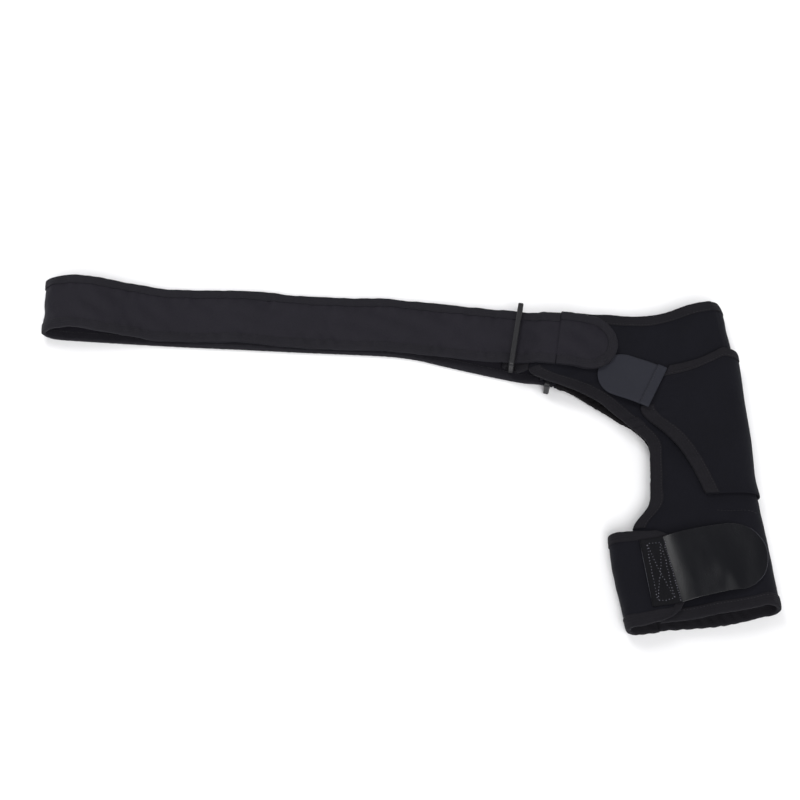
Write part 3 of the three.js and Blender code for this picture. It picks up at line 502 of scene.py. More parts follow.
def new_mesh(name, points, faces, uv, material):
    """A smooth-shaded mesh from points in millimetres, with UVs in millimetres, riding on the one body."""
    mesh = bpy.data.meshes.new(name)
    placed = points + SHIFT
    placed[:, 2] = np.maximum(placed[:, 2], 0)
    mesh.from_pydata((placed / 1000).tolist(), [], faces)
    layer = mesh.uv_layers.new(name="UVMap")
    corner = np.empty(len(mesh.loops), int)
    mesh.loops.foreach_get("vertex_index", corner)
    layer.data.foreach_set("uv", (uv[corner] / 1000).ravel())
    mesh.polygons.foreach_set("use_smooth", np.ones(len(mesh.polygons), bool))
    mesh.materials.append(material)
    mesh.validate()
    mesh.update()
    piece = bpy.data.objects.new(name, mesh)
    bpy.context.scene.collection.objects.link(piece)
    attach(piece, "root")
    return piece


def grid_faces(rows, columns, start=0, flip=False, closed=False):
    """Quads of a grid of points; a closed grid's last column meets its first."""
    i, j = np.meshgrid(np.arange(rows - 1), np.arange(columns if closed else columns - 1), indexing="ij")
    here, after = i * columns + j, i * columns + (j + 1) % columns
    quads = np.stack([here, after, after + columns, here + columns], -1).reshape(-1, 4) + start
    return (quads[:, ::-1] if flip else quads).tolist()


def sheet(name, surface, u, v, wall, material, rim=0.3, lip=0.36, uv=None):
    """A sheet of even thickness over a grid of places on a surface, with a soft rim."""
    rows, columns = u.shape
    middle, normal = surface.frame(u, v)
    half = np.full((rows, columns, 1), wall / 2)
    half[0] = half[-1] = wall * lip
    half[:, 0] = half[:, -1] = wall * lip
    top, bottom = middle + normal * half, middle - normal * half
    ring = [(0, j) for j in range(columns)] + [(i, columns - 1) for i in range(1, rows)]
    ring += [(rows - 1, j) for j in range(columns - 2, -1, -1)] + [(i, 0) for i in range(rows - 2, 0, -1)]
    i, j = np.array(ring).T
    inside = middle[np.clip(i, 1, rows - 2), np.clip(j, 1, columns - 2)]
    edge = middle[i, j] + unit(middle[i, j] - inside) * rim * wall
    points = np.vstack([top.reshape(-1, 3), bottom.reshape(-1, 3), edge])
    count = rows * columns
    above = i * columns + j
    faces = grid_faces(rows, columns) + grid_faces(rows, columns, count, flip=True)
    k = np.arange(len(ring))
    n = np.roll(k, -1)
    rim_k, rim_n = 2 * count + k, 2 * count + n
    faces += np.stack([above[n], above[k], rim_k, rim_n], 1).tolist()
    faces += np.stack([rim_n, rim_k, above[k] + count, above[n] + count], 1).tolist()
    if uv is None:
        uv = lengths(middle)
    uv = uv.reshape(-1, 2)
    return new_mesh(name, points, faces, np.vstack([uv, uv, uv[above]]), material)


def lengths(middle):
    """Distances over a grid along its rows and down its columns, for UVs that follow the cloth."""
    across = np.linalg.norm(np.diff(middle, axis=1), axis=2).mean(0)
    down = np.linalg.norm(np.diff(middle, axis=0), axis=2).mean(1)
    x, y = np.concatenate([[0], np.cumsum(across)]), np.concatenate([[0], np.cumsum(down)])
    return np.stack(np.meshgrid(x, y), -1)


# Cross-section of a folded tape's outer face: share of the leg in from the edge, and rise of its crown.
TAPE_FACE = [
    (1.0, -0.3), (0.965, 0.0), (0.9, 0.04), (0.8, -0.04), (0.65, 0.08), (0.45, 0.14), (0.25, 0.1), (0.1, 0),
]
TAPE_TURN = 7


def tube(name, points, uv, material):
    """A closed mesh from rings of points, with flat ends."""
    rows, columns = points.shape[:2]
    last = (rows - 1) * columns
    faces = grid_faces(rows, columns, closed=True)
    faces += [list(range(columns - 1, -1, -1)), list(range(last, last + columns))]
    return new_mesh(name, points.reshape(-1, 3), faces, uv, material)


def tape(name, surface, edge, inner, wall, seed, material, pucker=0.14):
    """Binding tape folded over an edge, given as two lines of places: on the edge and a leg in from it."""
    (edge_u, edge_v), (inner_u, inner_v) = edge, inner
    on_edge = surface.frame(edge_u, edge_v)[0]
    outward = unit(on_edge - surface.frame(inner_u, inner_v)[0])
    s = distances(on_edge)
    near, far = wall / 2 + GAP, wall / 2 + TAPE_PROUD
    wave = Ripple(seed, 9).along(s) + 0.5 * Ripple(seed + 1, 4.5).along(s)
    fine = Ripple(seed + 2, 14).along(s)
    section = []
    for side, face, lift in ((1, TAPE_FACE, pucker), (-1, TAPE_FACE[::-1], 0.3 * pucker)):
        for share, crown in face:
            rise = far + crown + lift * wave * 4 * share * (1 - share) + 0.12 * fine * (1 - share)
            section.append((share, 0 * s, side * rise))
        if side == 1:
            for angle in np.pi * np.linspace(0.12, 0.88, TAPE_TURN):
                out = (0.62 * (far - 0.2) + 0.1 * wave) * math.sin(angle)
                section.append((0, out, 0 * s + far * math.cos(angle)))
    inside = (1, -near), (0, -near), (0, near), (1, near)
    section += [(share, 0 * s, 0 * s + off) for share, off in inside]
    lines = []
    for share, out, off in section:
        u, v = edge_u + (inner_u - edge_u) * share, edge_v + (inner_v - edge_v) * share
        point, normal = surface.frame(u, v)
        lines.append(point + outward * out[:, None] + normal * off[:, None])
    uv = np.stack(np.broadcast_arrays(s[:, None], 1.5 * np.arange(1, len(section) + 1)), -1)
    return tube(name, np.stack(lines, 1), uv.reshape(-1, 2), material)


def put(tree, node, **inputs):
    """Links or sets a node's inputs. A key has _ for a space, or is _ and a number."""
    for key, value in inputs.items():
        socket = node.inputs[int(key[1:]) if key[0] == "_" else key.replace("_", " ")]
        if isinstance(value, bpy.types.NodeSocket):
            tree.links.new(value, socket)
        else:
            socket.default_value = value
    return node


def add_node(tree, kind, settings=None, **inputs):
    """Adds a shader node with its settings and inputs."""
    node = tree.nodes.new(kind)
    for key, value in (settings or {}).items():
        setattr(node, key, value)
    return put(tree, node, **inputs)


def scaled(tree, vector, x, y):
    return add_node(tree, "ShaderNodeMapping", Vector=vector, Scale=(x, y, 1)).outputs["Vector"]


def noise(tree, vector, scale, detail=3.0, rough=0.55):
    inputs = {"Vector": vector, "Scale": scale, "Detail": detail, "Roughness": rough}
    return add_node(tree, "ShaderNodeTexNoise", **inputs).outputs["Fac"]


def remap(tree, value, low, high, to_low, to_high):
    """A value's range moved to another range."""
    ranges = {"From_Min": low, "From_Max": high, "To_Min": to_low, "To_Max": to_high}
    return add_node(tree, "ShaderNodeMapRange", Value=value, **ranges).outputs["Result"]


def maths(tree, operation, a, b):
    return add_node(tree, "ShaderNodeMath", {"operation": operation}, _0=a, _1=b).outputs[0]


def weighted(tree, *terms):
    """The sum of values, each times its weight."""
    total = 0.0
    for value, weight in terms:
        total = maths(tree, "ADD", maths(tree, "MULTIPLY", value, weight), total)
    return total


def mixed(tree, share, first, second):
    """A colour between two, by a share."""
    colours = {"_6": (*first, 1), "_7": (*second, 1)}
    return add_node(tree, "ShaderNodeMix", {"data_type": "RGBA"}, _0=share, **colours).outputs[2]


def relief_of(tree, height, strength, distance):
    """The normal of a height."""
    inputs = {"Height": height, "Strength": strength, "Distance": distance}
    return add_node(tree, "ShaderNodeBump", **inputs).outputs["Normal"]


def principled(name):
    """A new material with its node tree and its shader."""
    material = bpy.data.materials.new(name)
    material.use_nodes = True
    return material, material.node_tree, material.node_tree.nodes["Principled BSDF"]


def fabric(name, dark, light, weave, weave_depth, fuzz_depth, roughness, sheen, ribs=(1, 1), specular=0.12):
    """Cloth with a knit or ribbed face from UVs in metres, a fuzzy nap, uneven dye and a soft sheen."""
    material, tree, shader = principled(name)
    place = add_node(tree, "ShaderNodeTexCoord")
    world = place.outputs["Object"]
    cells = scaled(tree, place.outputs["UV"], ribs[0] / weave, ribs[1] / weave)
    wave = {"Vector": cells, "Scale": 0.5, "Distortion": 0.7}
    warp, weft = (add_node(tree, "ShaderNodeTexWave", {"bands_direction": way}, **wave) for way in "XY")
    knit = maths(tree, "MULTIPLY", warp.outputs["Fac"], weft.outputs["Fac"])
    nap = noise(tree, world, 1500.0, 2.0)
    clumps = noise(tree, world, 420.0, 4.0, 0.6)
    tone = weighted(tree, (clumps, 0.6), (noise(tree, world, 26.0), 0.5), (knit, 0.25))
    height = weighted(tree, (knit, weave_depth), (nap, fuzz_depth), (clumps, fuzz_depth * 1.5))
    put(
        tree, shader,
        Base_Color=mixed(tree, remap(tree, tone, 0.3, 0.95, 0.0, 1.0), dark, light),
        Roughness=remap(tree, clumps, 0.2, 0.8, roughness - 0.05, roughness + 0.05),
        Specular_IOR_Level=specular,
        Sheen_Weight=sheen, Sheen_Roughness=0.45, Sheen_Tint=(0.8, 0.82, 1.0, 1),
        Normal=relief_of(tree, height, 1.0, 0.001),
    )
    return material


def moulded(name, colour, roughness, grain):
    """Moulded plastic with a fine eroded grain and faint scuffs."""
    material, tree, shader = principled(name)
    world = add_node(tree, "ShaderNodeTexCoord").outputs["Object"]
    scuffs = noise(tree, scaled(tree, world, 1.0, 6.0), 160.0, 4.0)
    lighter = tuple(1.5 * value for value in colour)
    put(
        tree, shader,
        Base_Color=mixed(tree, remap(tree, scuffs, 0.45, 0.8, 0.0, 1.0), colour, lighter),
        Roughness=remap(tree, scuffs, 0.3, 0.8, roughness - 0.06, roughness + 0.1),
        Specular_IOR_Level=0.3,
        Normal=relief_of(tree, noise(tree, world, 1800.0), 0.5, grain),
    )
    return material


def glossy(name, colour, light, roughness):
    """Smooth semi-gloss tape with faint clouds in its shine."""
    material, tree, shader = principled(name)
    uv = add_node(tree, "ShaderNodeTexCoord").outputs["UV"]
    cloud = noise(tree, scaled(tree, uv, 1.0, 0.35), 60.0, 4.0)
    height = weighted(tree, (noise(tree, uv, 700.0, 2.0), 0.15), (cloud, 0.7))
    put(
        tree, shader,
        Base_Color=mixed(tree, cloud, colour, light),
        Roughness=remap(tree, cloud, 0.3, 0.75, roughness - 0.05, roughness + 0.08),
        Specular_IOR_Level=0.3,
        Normal=relief_of(tree, height, 0.5, 0.0004),
    )
    return material


def thread(name, colour, roughness):
    """Twisted polyester thread with a slight shine."""
    material, tree, shader = principled(name)
    strands = noise(tree, add_node(tree, "ShaderNodeTexCoord").outputs["Object"], 900.0, 2.0)
    paler = tuple(2.2 * value for value in colour)
    put(
        tree, shader,
        Base_Color=mixed(tree, remap(tree, strands, 0.4, 0.7, 0.0, 1.0), colour, paler),
        Roughness=roughness,
        Normal=relief_of(tree, strands, 0.4, 0.0002),
    )
    return material


RIBS = (1, 0.35)
LOOKS = {
    "neoprene": fabric(
        "neoprene_jersey", (0.003, 0.003, 0.005), (0.0064, 0.0064, 0.0102), 0.0011, 0.1, 0.08, 0.8, 0.02
    ),
    "binding": fabric(
        "knitted_tape", (0.0062, 0.0058, 0.0076), (0.0122, 0.0115, 0.0146), 0.0012, 0.16, 0.08, 0.82, 0.02,
        RIBS,
    ),
    "strap": fabric(
        "brushed_strap", (0.0074, 0.0066, 0.0102), (0.0126, 0.0113, 0.0168), 0.0016, 0.04, 0.14, 0.7, 0.03,
        specular=0.17,
    ),
    "strap_tape": fabric(
        "strap_tape", (0.0066, 0.0061, 0.0088), (0.0124, 0.0115, 0.016), 0.0012, 0.16, 0.1, 0.72, 0.03,
        RIBS, 0.17,
    ),
    # A darker copy of the binding tape: painted shade on the back wall's armpit binding, which lies in the
    # front wall's shade.
    "lining_tape": fabric(
        "lining_tape", (0.0022, 0.0019, 0.0024), (0.0088, 0.0078, 0.0092), 0.0012, 0.16, 0.1, 0.85, 0, RIBS
    ),
    "hooks": fabric(
        "cut_hooks", (0.003, 0.003, 0.0042), (0.0075, 0.0075, 0.0098), 0.0017, 0.5, 0.1, 0.6, 0
    ),
    "grey_tab": fabric(
        "grey_tape", (0.0165, 0.0172, 0.0235), (0.0225, 0.0235, 0.0315), 0.001, 0.06, 0.04, 0.6, 0.02
    ),
    "gloss_tab": glossy("gloss_tape", (0.0032, 0.0034, 0.0048), (0.0052, 0.0055, 0.0075), 0.23),
    # Pale plastic for the tab's heat-cut edge; its paleness is a painted highlight of the edge.
    "cut_edge": moulded("cut_edge", (0.035, 0.036, 0.045), 0.28, 0.0001),
    "ring": moulded("matte_ring", (0.0085, 0.0083, 0.0100), 0.42, 0.0002),
    "dull_thread": thread("dull_thread", (0.0095, 0.0092, 0.0115), 0.6),
    # Black thread in a paler colour: a painted glint of its shine, for the stitches that sew the hook tab
    # down.
    "shiny_thread": thread("shiny_thread", (0.07, 0.07, 0.085), 0.2),
}


def make(kind, name, slot, *arguments, look=None, **options):
    """Makes a piece in its slot's look, or another, in place of the CAD node of its name, if any."""
    piece = kind(f"soft_{name}", *arguments, material=LOOKS[look or slot], **options)
    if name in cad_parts:
        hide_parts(name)
    return piece


# A stitch's faces: a start, two rings of three points and an end.
STITCH_FACES = [
    (0, 2, 1), (0, 3, 2), (7, 4, 5), (7, 5, 6), (1, 2, 5, 4), (2, 3, 6, 5), (0, 1, 4, 7), (0, 7, 6, 3),
]


def stitch_rows(name, surface, lines, lift, pitch, width, material, swing=0.0, jitter=0.0):
    """Raised stitches along lines of places, each a slim bead of thread; swing makes them zigzag."""
    found = []
    draw = np.random.default_rng(len(lines))
    cut = 0.27 if swing else 0.2
    for u, v in lines:
        path, normal = surface.frame(u, v)
        run = distances(path)
        at = np.arange(0, run[-1], pitch)
        spot, up = along_run(at, run, path), unit(along_run(at, run, normal))
        side = unit(np.cross(up, np.gradient(spot, axis=0)))
        wander = jitter * draw.standard_normal((len(at), 1))
        sway = swing * np.where(np.arange(len(at)) % 2, 1, -1)[:, None]
        spot = spot + up * lift + side * (sway + wander)
        size = width * (1 + jitter * draw.uniform(-1, 0.6, (len(at), 1)))[:-1]
        up, way = up[:-1], np.diff(spot, axis=0)
        first, last = spot[:-1] + way * cut, spot[:-1] + way * (1 - cut)
        half = unit(np.cross(up, way)) * size / 2
        middles = first * 0.7 + last * 0.3, first * 0.3 + last * 0.7
        rings = [middle + turn for middle in middles for turn in (half, up * size / 2, -half)]
        found.append(np.stack([first - up * 0.1, *rings, last - up * 0.1], 1).reshape(-1, 3))
    points = np.vstack(found)
    faces = [[start + k for k in face] for start in range(0, len(points), 8) for face in STITCH_FACES]
    return new_mesh(name, points, faces, points[:, :2], material)


def bind(name, surface, lines, wall, seed, **options):
    """Makes a binding tape over an edge."""
    make(tape, name, "binding", surface, *lines, wall, seed, **options)


def places(u, v):
    return np.meshgrid(u, v, indexing="ij")


SLOW, BROAD, FINE, CREASES = Ripple(5, 60), Ripple(8, 24), Ripple(11, 11), Ripple(14, 6.5, 5)


def lining_creases(x, y, u, v, first_column):
    """Where the lining shows in the cuff's mouth, and its diagonal creases."""
    lining = clamp01((v - first_column) / 2) * clamp01((3.2 - u) / 2)
    return lining, np.sin((0.8 * x + 0.6 * y) / 1.5 + 1.5 * SLOW.over(x, y)) * lining


def shell_relief(base, u, v):
    """Slow dents, puckers beside the armpit's binding, and folds of the wall behind the armpit."""
    x, y = base[..., 0], base[..., 1]
    slow = 0.7 * SLOW.over(x, y) + 0.4 * BROAD.over(x, y)
    beside_armpit = np.exp(-((v - 1.3) ** 2)) * clamp01((u - 3.5) / 2)
    puckers = 0.3 * FINE.along(12 * u) * beside_armpit
    lining, creases = lining_creases(x, y, u, v, 16)
    behind_armpit = clamp01((v - 21) / 2) * clamp01((u - 8.8) / 1.2) * clamp01((15.4 - u) / 0.8)
    folds = 0.8 * (1 + CREASES.along(20 * u)) * behind_armpit * clamp01((25 - v) / 0.7)
    return slow * clamp01((v + 0.4) / 2) * (1 - 0.7 * lining) + puckers + 0.5 * creases + folds


def pocket_relief(base, u, v):
    """Slow dents over the pocket, and puckers beside its side binding."""
    x, y = base[..., 0], base[..., 1]
    return 0.35 * SLOW.over(x + 40, y) + 0.35 * FINE.along(15 * u) * bump(v, 1.4, 0.9)


def band_relief(base, u, v):
    """Small dents over the arm band, and creases of its lining."""
    x, y = base[..., 0], base[..., 1]
    creases = lining_creases(x, y, u, v, 12)[1]
    return 0.35 * BROAD.over(x, y) + 0.15 * FINE.over(x, y) + 0.4 * creases


def strap_relief(base, s, offset):
    """Puckers where the binding draws the strap in, and soft undulation along it."""
    beside = bump(STRAP_HALF - np.abs(offset), STRAP_TAPE_LEG, 5)
    waves = np.where(offset > 0, FINE.along(s), FINE.along(s + 400))
    across = 0.55 * BROAD.over(s, 1.2 * offset) + 0.15 * FINE.over(s, offset)
    return (0.6 * waves * beside + across) * clamp01((base[..., 2] - 3.2) / 2)


def make_shell():
    """The shell, finer at the armpit, with its four bindings and the lap of tape at the armpit."""
    shell = Patch(shell_grid(), shell_relief)
    last, top = shell.columns, shell.rows
    parts = np.linspace(0, 8.5, 60)[:-1], np.linspace(8.5, 15.5, 105)[:-1], np.linspace(15.5, top, 18)
    u, v = places(np.concatenate(parts), np.linspace(0, last, 7 * last + 1))
    make(sheet, "shoulder_shell", "neoprene", shell, u, v, SHELL_WALL)
    low, high = ARMPIT_ROWS
    edges = {
        "armpit_binding_front": edge_lines((low, 0), (high, 0), 190, (0, 1)),
        "armpit_binding_back": edge_lines((low, last), (high, last), 190, (0, -1)),
        "neck_binding": edge_lines((top, 0), (top, last), 300, (-1, 0)),
        "cuff_binding": edge_lines((0, 0), (0, last), 300, (1, 0)),
    }
    for seed, (name, lines) in enumerate(edges.items(), 20):
        # The back armpit binding gets the darker tape, as painted shade.
        look = "lining_tape" if name == "armpit_binding_back" else None
        bind(name, shell, lines, SHELL_WALL, seed, look=look)
    low, high = LAP_ROWS
    lap = edge_lines((low, 0), (high, 0), 24, (0, 1.05))
    bind("armpit_tape_lap", shell, lap, SHELL_WALL + 1.5 * TAPE_PROUD, 27, pucker=0.3)
    return shell


def make_pocket():
    """The pocket panel with its side and top bindings."""
    pocket = Patch(pocket_grid(), pocket_relief)
    top = pocket.rows
    u, v = places(np.linspace(0, top, 9 * top + 1), np.linspace(0, pocket.columns, 8 * pocket.columns + 1))
    make(sheet, "pocket_panel", "neoprene", pocket, u, v, POCKET_WALL)
    side = edge_lines((0, 0), (POCKET_CORNER_ROW, 0), 110, (0, 1))
    far = edge_lines((top, 0), (top, POCKET_TOP_COLUMNS), 110, (-1, 0))
    bind("pocket_side_binding", pocket, side, POCKET_WALL, 31, pucker=0.2)
    bind("pocket_top_binding", pocket, far, POCKET_WALL, 33)
    return pocket


def make_band():
    """The arm band with one binding round three of its edges."""
    band = Patch(band_grid(), band_relief)
    last = band.columns
    u, v = places(np.linspace(0, band.rows, 7 * band.rows + 1), np.linspace(0, last, 8 * last + 1))
    make(sheet, "arm_band", "neoprene", band, u, v, SHELL_WALL)
    run = np.linspace(0, last, 110)
    end = np.linspace(0, band.rows, 90)[1:-1]
    edge_u = np.concatenate([0 * run, end, 0 * run + band.rows])
    edge_v = np.concatenate([run[::-1], 0 * end, run])
    inner = np.clip(edge_u, 2, band.rows - 1), np.maximum(edge_v, BAND_TAPE_LEG / BAND_COLUMN)
    bind("arm_band_binding", band, ((edge_u, edge_v), inner), SHELL_WALL, 36)
    return band


def round_half(radius, s):
    return np.where(s >= radius, radius, np.sqrt(np.maximum(radius**2 - (radius - s) ** 2, 0)))


def across(low, high, steps):
    """Offsets from one edge to the other along a ribbon, a row for each distance."""
    return low[:, None] + (high - low)[:, None] * np.linspace(0, 1, steps)


def tip_distances(radius, steps):
    return radius * (1 - np.cos(np.linspace(0.06, math.pi / 2, steps)))


def make_strap():
    """The strap with its two edge tapes and its two ends."""
    strap = Ribbon(STRAP_PATH, True, relief=strap_relief)
    half, leg = STRAP_HALF, STRAP_TAPE_LEG
    s = np.arange(STRAP_END_LENGTH + SEAM_GAP, strap.length - STRAP_END_LENGTH - SEAM_GAP, 1.9)
    v = across(0 * s - half, half - gathered(s), 27)
    u = np.broadcast_to(s[:, None], v.shape)
    make(sheet, "chest_strap", "strap", strap, u, v, STRAP_WALL, uv=np.stack([v, u], -1))
    s = np.arange(s[0], s[-1], 1.3)
    edges = {
        "near": ((s, 0 * s - half), (s, 0 * s + leg - half)),
        "far": ((s, half - gathered(s)), (s, half - leg - gathered(s))),
    }
    for seed, (side, lines) in zip((40, 45), edges.items()):
        bind(f"strap_binding_{side}", strap, lines, STRAP_WALL, seed, pucker=0.3, look="strap_tape")
    strap_end(strap, "front", 0, 1, 50)
    strap_end(strap, "back", strap.length, -1, 54)
    return strap


def strap_end(strap, side, tip, way, seed):
    """The round end of the strap with its binding, from the tip to the cross seam."""
    s = np.concatenate([tip_distances(STRAP_HALF, 22), np.linspace(STRAP_HALF, STRAP_END_LENGTH, 17)[1:]])
    v = across(-round_half(STRAP_HALF, s), round_half(STRAP_HALF, s), 27)
    u = np.broadcast_to((tip + way * s)[:, None], v.shape)
    make(sheet, f"strap_{side}_end", "strap", strap, u, v, STRAP_WALL, uv=np.stack([v, u], -1))
    lines = [round_end(STRAP_HALF, 24, 70), round_end(STRAP_HALF - STRAP_TAPE_LEG, 24, 70)]
    lines = [(tip + way * distance, offset) for distance, offset in lines]
    bind(f"{side}_end_binding", strap, lines, STRAP_WALL, seed, pucker=0.1, look="strap_tape")


def round_end(radius, steps_straight, steps_round):
    """A line round the strap's end at a radius, in distance from the tip and offset."""
    straight = np.linspace(STRAP_END_LENGTH, STRAP_HALF, steps_straight)[:-1]
    angle = np.linspace(-math.pi / 2, math.pi / 2, steps_round)
    distance = np.concatenate([straight, STRAP_HALF - radius * np.cos(angle), straight[::-1]])
    return distance, np.concatenate([0 * straight - radius, radius * np.sin(angle), 0 * straight + radius])


def tab_places(ribbon, half):
    """Places over a tab that is square at its start and round at its tip."""
    round_tip = ribbon.length - tip_distances(half, 20)[::-1]
    s = np.concatenate([np.arange(0, ribbon.length - half, 2.0), round_tip])
    width = round_half(half, ribbon.length - s)
    shares = np.concatenate([[0], np.linspace(0.008, 0.992, 29), [1]])
    v = width[:, None] * (2 * shares - 1)
    return np.broadcast_to(s[:, None], v.shape), v


def arm_tab_relief(base, s, offset):
    """The sewn end is pressed flat, the tab springs up past its stitches, and its free end cockles."""
    past = np.maximum(s - SEWN_LENGTH, 0)
    rise = 2.8 * (1 - np.exp(-past / 9.5)) * clamp01((ARM_TAB_LENGTH - s) / 58)
    cockle = 2.6 * bump(s, 70, 13) * bump(offset, -16, 20)
    return rise + cockle - 0.25 * clamp01((SEWN_LENGTH - s) / 4)


def sew_down(tab):
    """Gives the sewn end of the tab and its cut rim their own dull face."""
    tab.data.materials.append(LOOKS["hooks"])
    layer = tab.data.uv_layers[0].data
    for face in tab.data.polygons:
        along = sum(layer[k].uv[0] for k in face.loop_indices) / face.loop_total
        on_rim = abs(face.normal.z) < 0.75
        face.material_index = 1 if along < SEWN_LENGTH / 1000 or on_rim else 0
        face.use_smooth = not on_rim


def cut_edge(ribbon):
    """The shiny heat-cut edge round the tab's free end and across its sewn end, as a bead whose pale colour
    is a painted highlight.
    """
    half, length = HOOK_TAB_WIDTH / 2, ribbon.length
    angle = np.linspace(-1.2, 1.15, 60)
    edges = {
        "round": (length - half + half * np.cos(angle), half * np.sin(angle)),
        "square": line((0.1, 0.5 - half), (0.1, half - 0.5), 40),
    }
    for shape, (u, v) in edges.items():
        path, normal = ribbon.frame(u, v)
        place = path + normal * HOOK_TAB_WALL * 0.42
        piece = bead(f"arm_tab_{shape}_edge", place, normal, 0.24, LOOKS["cut_edge"])


def bead(name, path, normal, radius, material, sides=8):
    """A fine round bead along a path."""
    tangent = unit(np.gradient(path, axis=0))
    side = unit(np.cross(normal, tangent))
    up = np.cross(tangent, side)
    from_end = np.minimum(np.arange(len(path)), np.arange(len(path))[::-1])
    taper = np.minimum(1, from_end / 14 + 0.1)[:, None, None]
    turn = (2 * np.pi * np.arange(sides) / sides)[None, :, None]
    ring = side[:, None] * np.cos(turn) + up[:, None] * np.sin(turn)
    points = path[:, None] + ring * radius * taper
    return tube(name, points, points.reshape(-1, 3)[:, :2], material)


def make_tabs():
    """The hook tab and the grey pocket tab with its hem."""
    arm = Ribbon(ARM_TAB_PATH, True, relief=arm_tab_relief)
    u, v = tab_places(arm, HOOK_TAB_WIDTH / 2)
    uv = np.stack([u, v], -1)
    sew_down(make(sheet, "arm_tab", "gloss_tab", arm, u, v, HOOK_TAB_WALL, rim=0.02, lip=0.5, uv=uv))
    cut_edge(arm)
    grey = Ribbon(POCKET_TAB_PATH, False)
    u, v = tab_places(grey, POCKET_TAB_WIDTH / 2)
    make(sheet, "pocket_tab", "grey_tab", grey, u, v, POCKET_TAB_WALL, uv=np.stack([u, v], -1))
    over = Ribbon(POCKET_TAB_PATH, False, POCKET_TAB_WALL / 2 + GAP + POCKET_HEM_WALL / 2)
    wide = POCKET_TAB_WIDTH / 2 + 0.4
    u, v = places(np.linspace(0, POCKET_HEM, 7), np.linspace(-wide, wide, 27))
    make(sheet, "pocket_tab_hem", "grey_tab", over, u, v, POCKET_HEM_WALL, uv=np.stack([u, v], -1))
    return arm, grey


def ring_loop(prefix, ring, rows, bar_height):
    """Tail of neoprene round one bar of a ring; the front one has a tape."""
    turn = math.radians(ring["turn"])
    reach = np.linspace(0, 1, 7)
    along = -rows["near"][:, None] + (rows["near"] + rows["far"])[:, None] * reach
    past = np.broadcast_to(rows["past"][:, None], along.shape)
    x = ring["x"] + past * math.cos(turn) + along * math.sin(turn)
    y = ring["y"] - past * math.sin(turn) + along * math.cos(turn)
    z = np.broadcast_to(bar_height + rows["above"][:, None], along.shape)
    loop = Patch(np.stack([x, y, z], -1))
    u, v = places(np.linspace(0, loop.rows, 8 * loop.rows + 1), np.linspace(0, loop.columns, 40))
    make(sheet, f"{prefix}_ring_loop", "neoprene", loop, u, v, LOOP_WALL)
    if prefix == "front":
        lines = edge_lines((0, 0), (loop.rows - 0.02, 0), 90, (0, 1))
        bind("front_tail_tape", loop, lines, LOOP_WALL, 60)


def make_stage():
    """A pale plain table under a sky that is brighter low down, a broad key light and three soft boxes."""
    bpy.ops.mesh.primitive_plane_add(size=FLOOR_SIZE, location=(0, 2.5, -FLOOR_BELOW))
    floor = bpy.context.object
    floor.name = "table"
    paper, tree, shader = principled("paper_white")
    put(tree, shader, Base_Color=(0.93, 0.93, 0.94, 1), Roughness=0.7, Specular_IOR_Level=0.1)
    floor.data.materials.append(paper)
    world = bpy.data.worlds.new("studio")
    world.use_nodes = True
    tree = world.node_tree
    upward = add_node(tree, "ShaderNodeTexCoord").outputs["Generated"]
    height = add_node(tree, "ShaderNodeSeparateXYZ", Vector=upward).outputs["Z"]
    strength = remap(tree, height, 0.05, 0.5, 0.95, 0.27)
    put(tree, tree.nodes["Background"], Color=(0.99, 0.99, 1, 1), Strength=strength)
    bpy.context.scene.world = world
    key = bpy.data.lights.new("above_near", "SUN")
    key.energy, key.angle = SUN_STRENGTH, math.radians(SUN_ANGLE)
    add_lamp(key, SUN_PLACE)
    for name, size, power, place in LIGHTS:
        light = bpy.data.lights.new(name, "AREA")
        light.shape, light.size, light.energy = "SQUARE", size, power
        add_lamp(light, place)


def add_lamp(light, place):
    """Puts a lamp at a place, turned to the origin."""
    lamp = bpy.data.objects.new(light.name, light)
    lamp.location = place
    lamp.rotation_euler = Vector(place).to_track_quat("Z", "Y").to_euler()
    bpy.context.scene.collection.objects.link(lamp)


def make_camera():
    """The photograph's view: about 63 degrees above the table, from the near side."""
    lens = bpy.data.cameras.new("camera")
    lens.lens, lens.sensor_width = LENS, SENSOR
    camera = bpy.data.objects.new("camera", lens)
    camera.location = CAMERA_PLACE
    camera.rotation_euler = (math.radians(CAMERA_TILT), 0, 0)
    bpy.context.scene.collection.objects.link(camera)
    bpy.context.scene.camera = camera
    bpy.context.scene.view_settings.view_transform = "Standard"


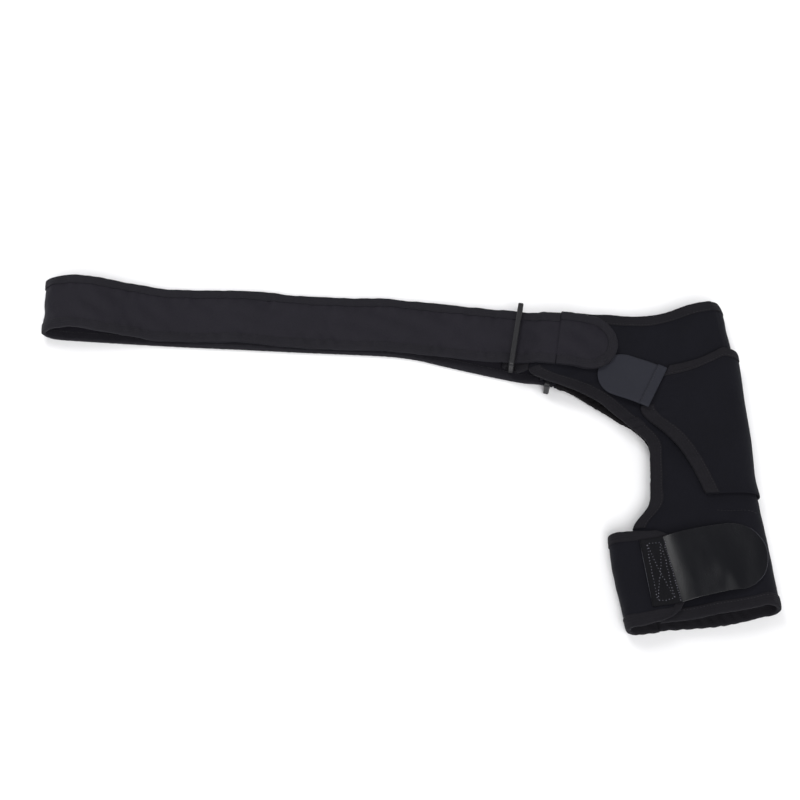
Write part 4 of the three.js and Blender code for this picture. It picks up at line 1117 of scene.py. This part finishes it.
def binding_seams():
    """The seam just inside each binding's inner edge, and one across the shell's front."""
    inset, (low, high) = SEAM_INSET, ARMPIT_ROWS
    last, top = shell.columns, shell.rows - inset
    shell_lines = [
        line((low, inset), (high, inset), 120),
        line((low, last - inset), (high, last - inset), 120),
        line((top, 0), (top, last), 240),
        line((inset, 0), (inset, last), 240),
        line((4.4, 6.4), (4.05, 10.5), 60),
    ]
    top = pocket.rows - inset
    pocket_lines = [
        line((0.05, inset), (POCKET_CORNER_ROW, inset), 80),
        line((top, 0), (top, POCKET_TOP_COLUMNS), 80),
    ]
    s = np.arange(STRAP_END_LENGTH + 2, strap.length - STRAP_END_LENGTH - 2, 2.0)
    inner = STRAP_HALF - inset * STRAP_TAPE_LEG
    end_s, end_v = round_end(inner, 14, 60)
    ends = [(end_s, end_v), (strap.length - end_s, end_v)]
    strap_lines = [(s, 0 * s - inner), (s, inner - gathered(s)), *ends]
    run = np.linspace(0, band.columns, 90)
    end = np.linspace(0.5, band.rows - 0.5, 60)
    leg = BAND_TAPE_LEG / BAND_COLUMN * inset
    first, top = 1.75, band.rows - inset
    band_u = np.concatenate([0 * run + first, np.clip(end, first, top), 0 * run + top])
    band_v = np.concatenate([np.maximum(run[::-1], leg), 0 * end + leg, np.maximum(run, leg)])
    rows = {
        "shell_seams": (shell, shell_lines, SHELL_WALL),
        "pocket_seams": (pocket, pocket_lines, POCKET_WALL),
        "strap_seams": (strap, strap_lines, STRAP_WALL),
        "band_seams": (band, [(band_u, band_v)], SHELL_WALL),
    }
    for name, (surface, lines, wall) in rows.items():
        lift = wall / 2 + TAPE_PROUD + 0.02
        piece = stitch_rows(name, surface, lines, lift, SEAM_PITCH, SEAM_THREAD, LOOKS["dull_thread"])


def box_and_cross(low, high, wide):
    """Lines of a box with both diagonals, in distance and offset."""
    corners = [(low, -wide), (high, -wide), (high, wide), (low, wide), (low, -wide), (high, wide)]
    runs = [*zip(corners[:-1], corners[1:]), ((low, wide), (high, -wide))]
    return [line(start, end, 60) for start, end in runs]


def tab_seams():
    """The box and cross that sews the hook tab down, its zigzag bar, and the grey tab's hem seam."""
    shiny, dull = LOOKS["shiny_thread"], LOOKS["dull_thread"]
    wide = HOOK_TAB_WIDTH / 2 - 4.5
    top = HOOK_TAB_WALL / 2 + 0.05
    box = box_and_cross(5.5, 19.5, wide)
    bar = [line((SEWN_LENGTH - 1.2, -wide - 3.6), (SEWN_LENGTH - 1.2, wide + 3.6), 80)]
    reach = POCKET_TAB_WIDTH / 2 - 0.6
    hem = [line((POCKET_HEM - 1, -reach), (POCKET_HEM - 1, reach), 60)]
    lift = POCKET_TAB_WALL / 2 + GAP + POCKET_HEM_WALL + 0.02
    # The tab's box and zigzag take the paler thread, whose colour is a painted glint.
    stitch_rows("arm_tab_box", arm, box, top, 2.9, 0.95, shiny, 0.45, 0.35)
    stitch_rows("arm_tab_zigzag", arm, bar, top, 2.3, 0.9, shiny, 1.5, 0.4)
    stitch_rows("pocket_tab_seam", grey, hem, lift, 2.6, 0.4, dull)


make_camera()
make_stage()
shell, pocket, band, strap = make_shell(), make_pocket(), make_band(), make_strap()
arm, grey = make_tabs()
ring_loop("front", FRONT_RING, FRONT_LOOP, FRONT_RING["bottom"] + RING_WIRE / 2)
ring_loop("back", BACK_RING, BACK_LOOP, RING_HEIGHT - RING_WIRE / 2)
for ring in ("front_ring", "back_ring"):
    for material_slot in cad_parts[ring].material_slots:
        material_slot.material = LOOKS["ring"]

binding_seams()
tab_seams()
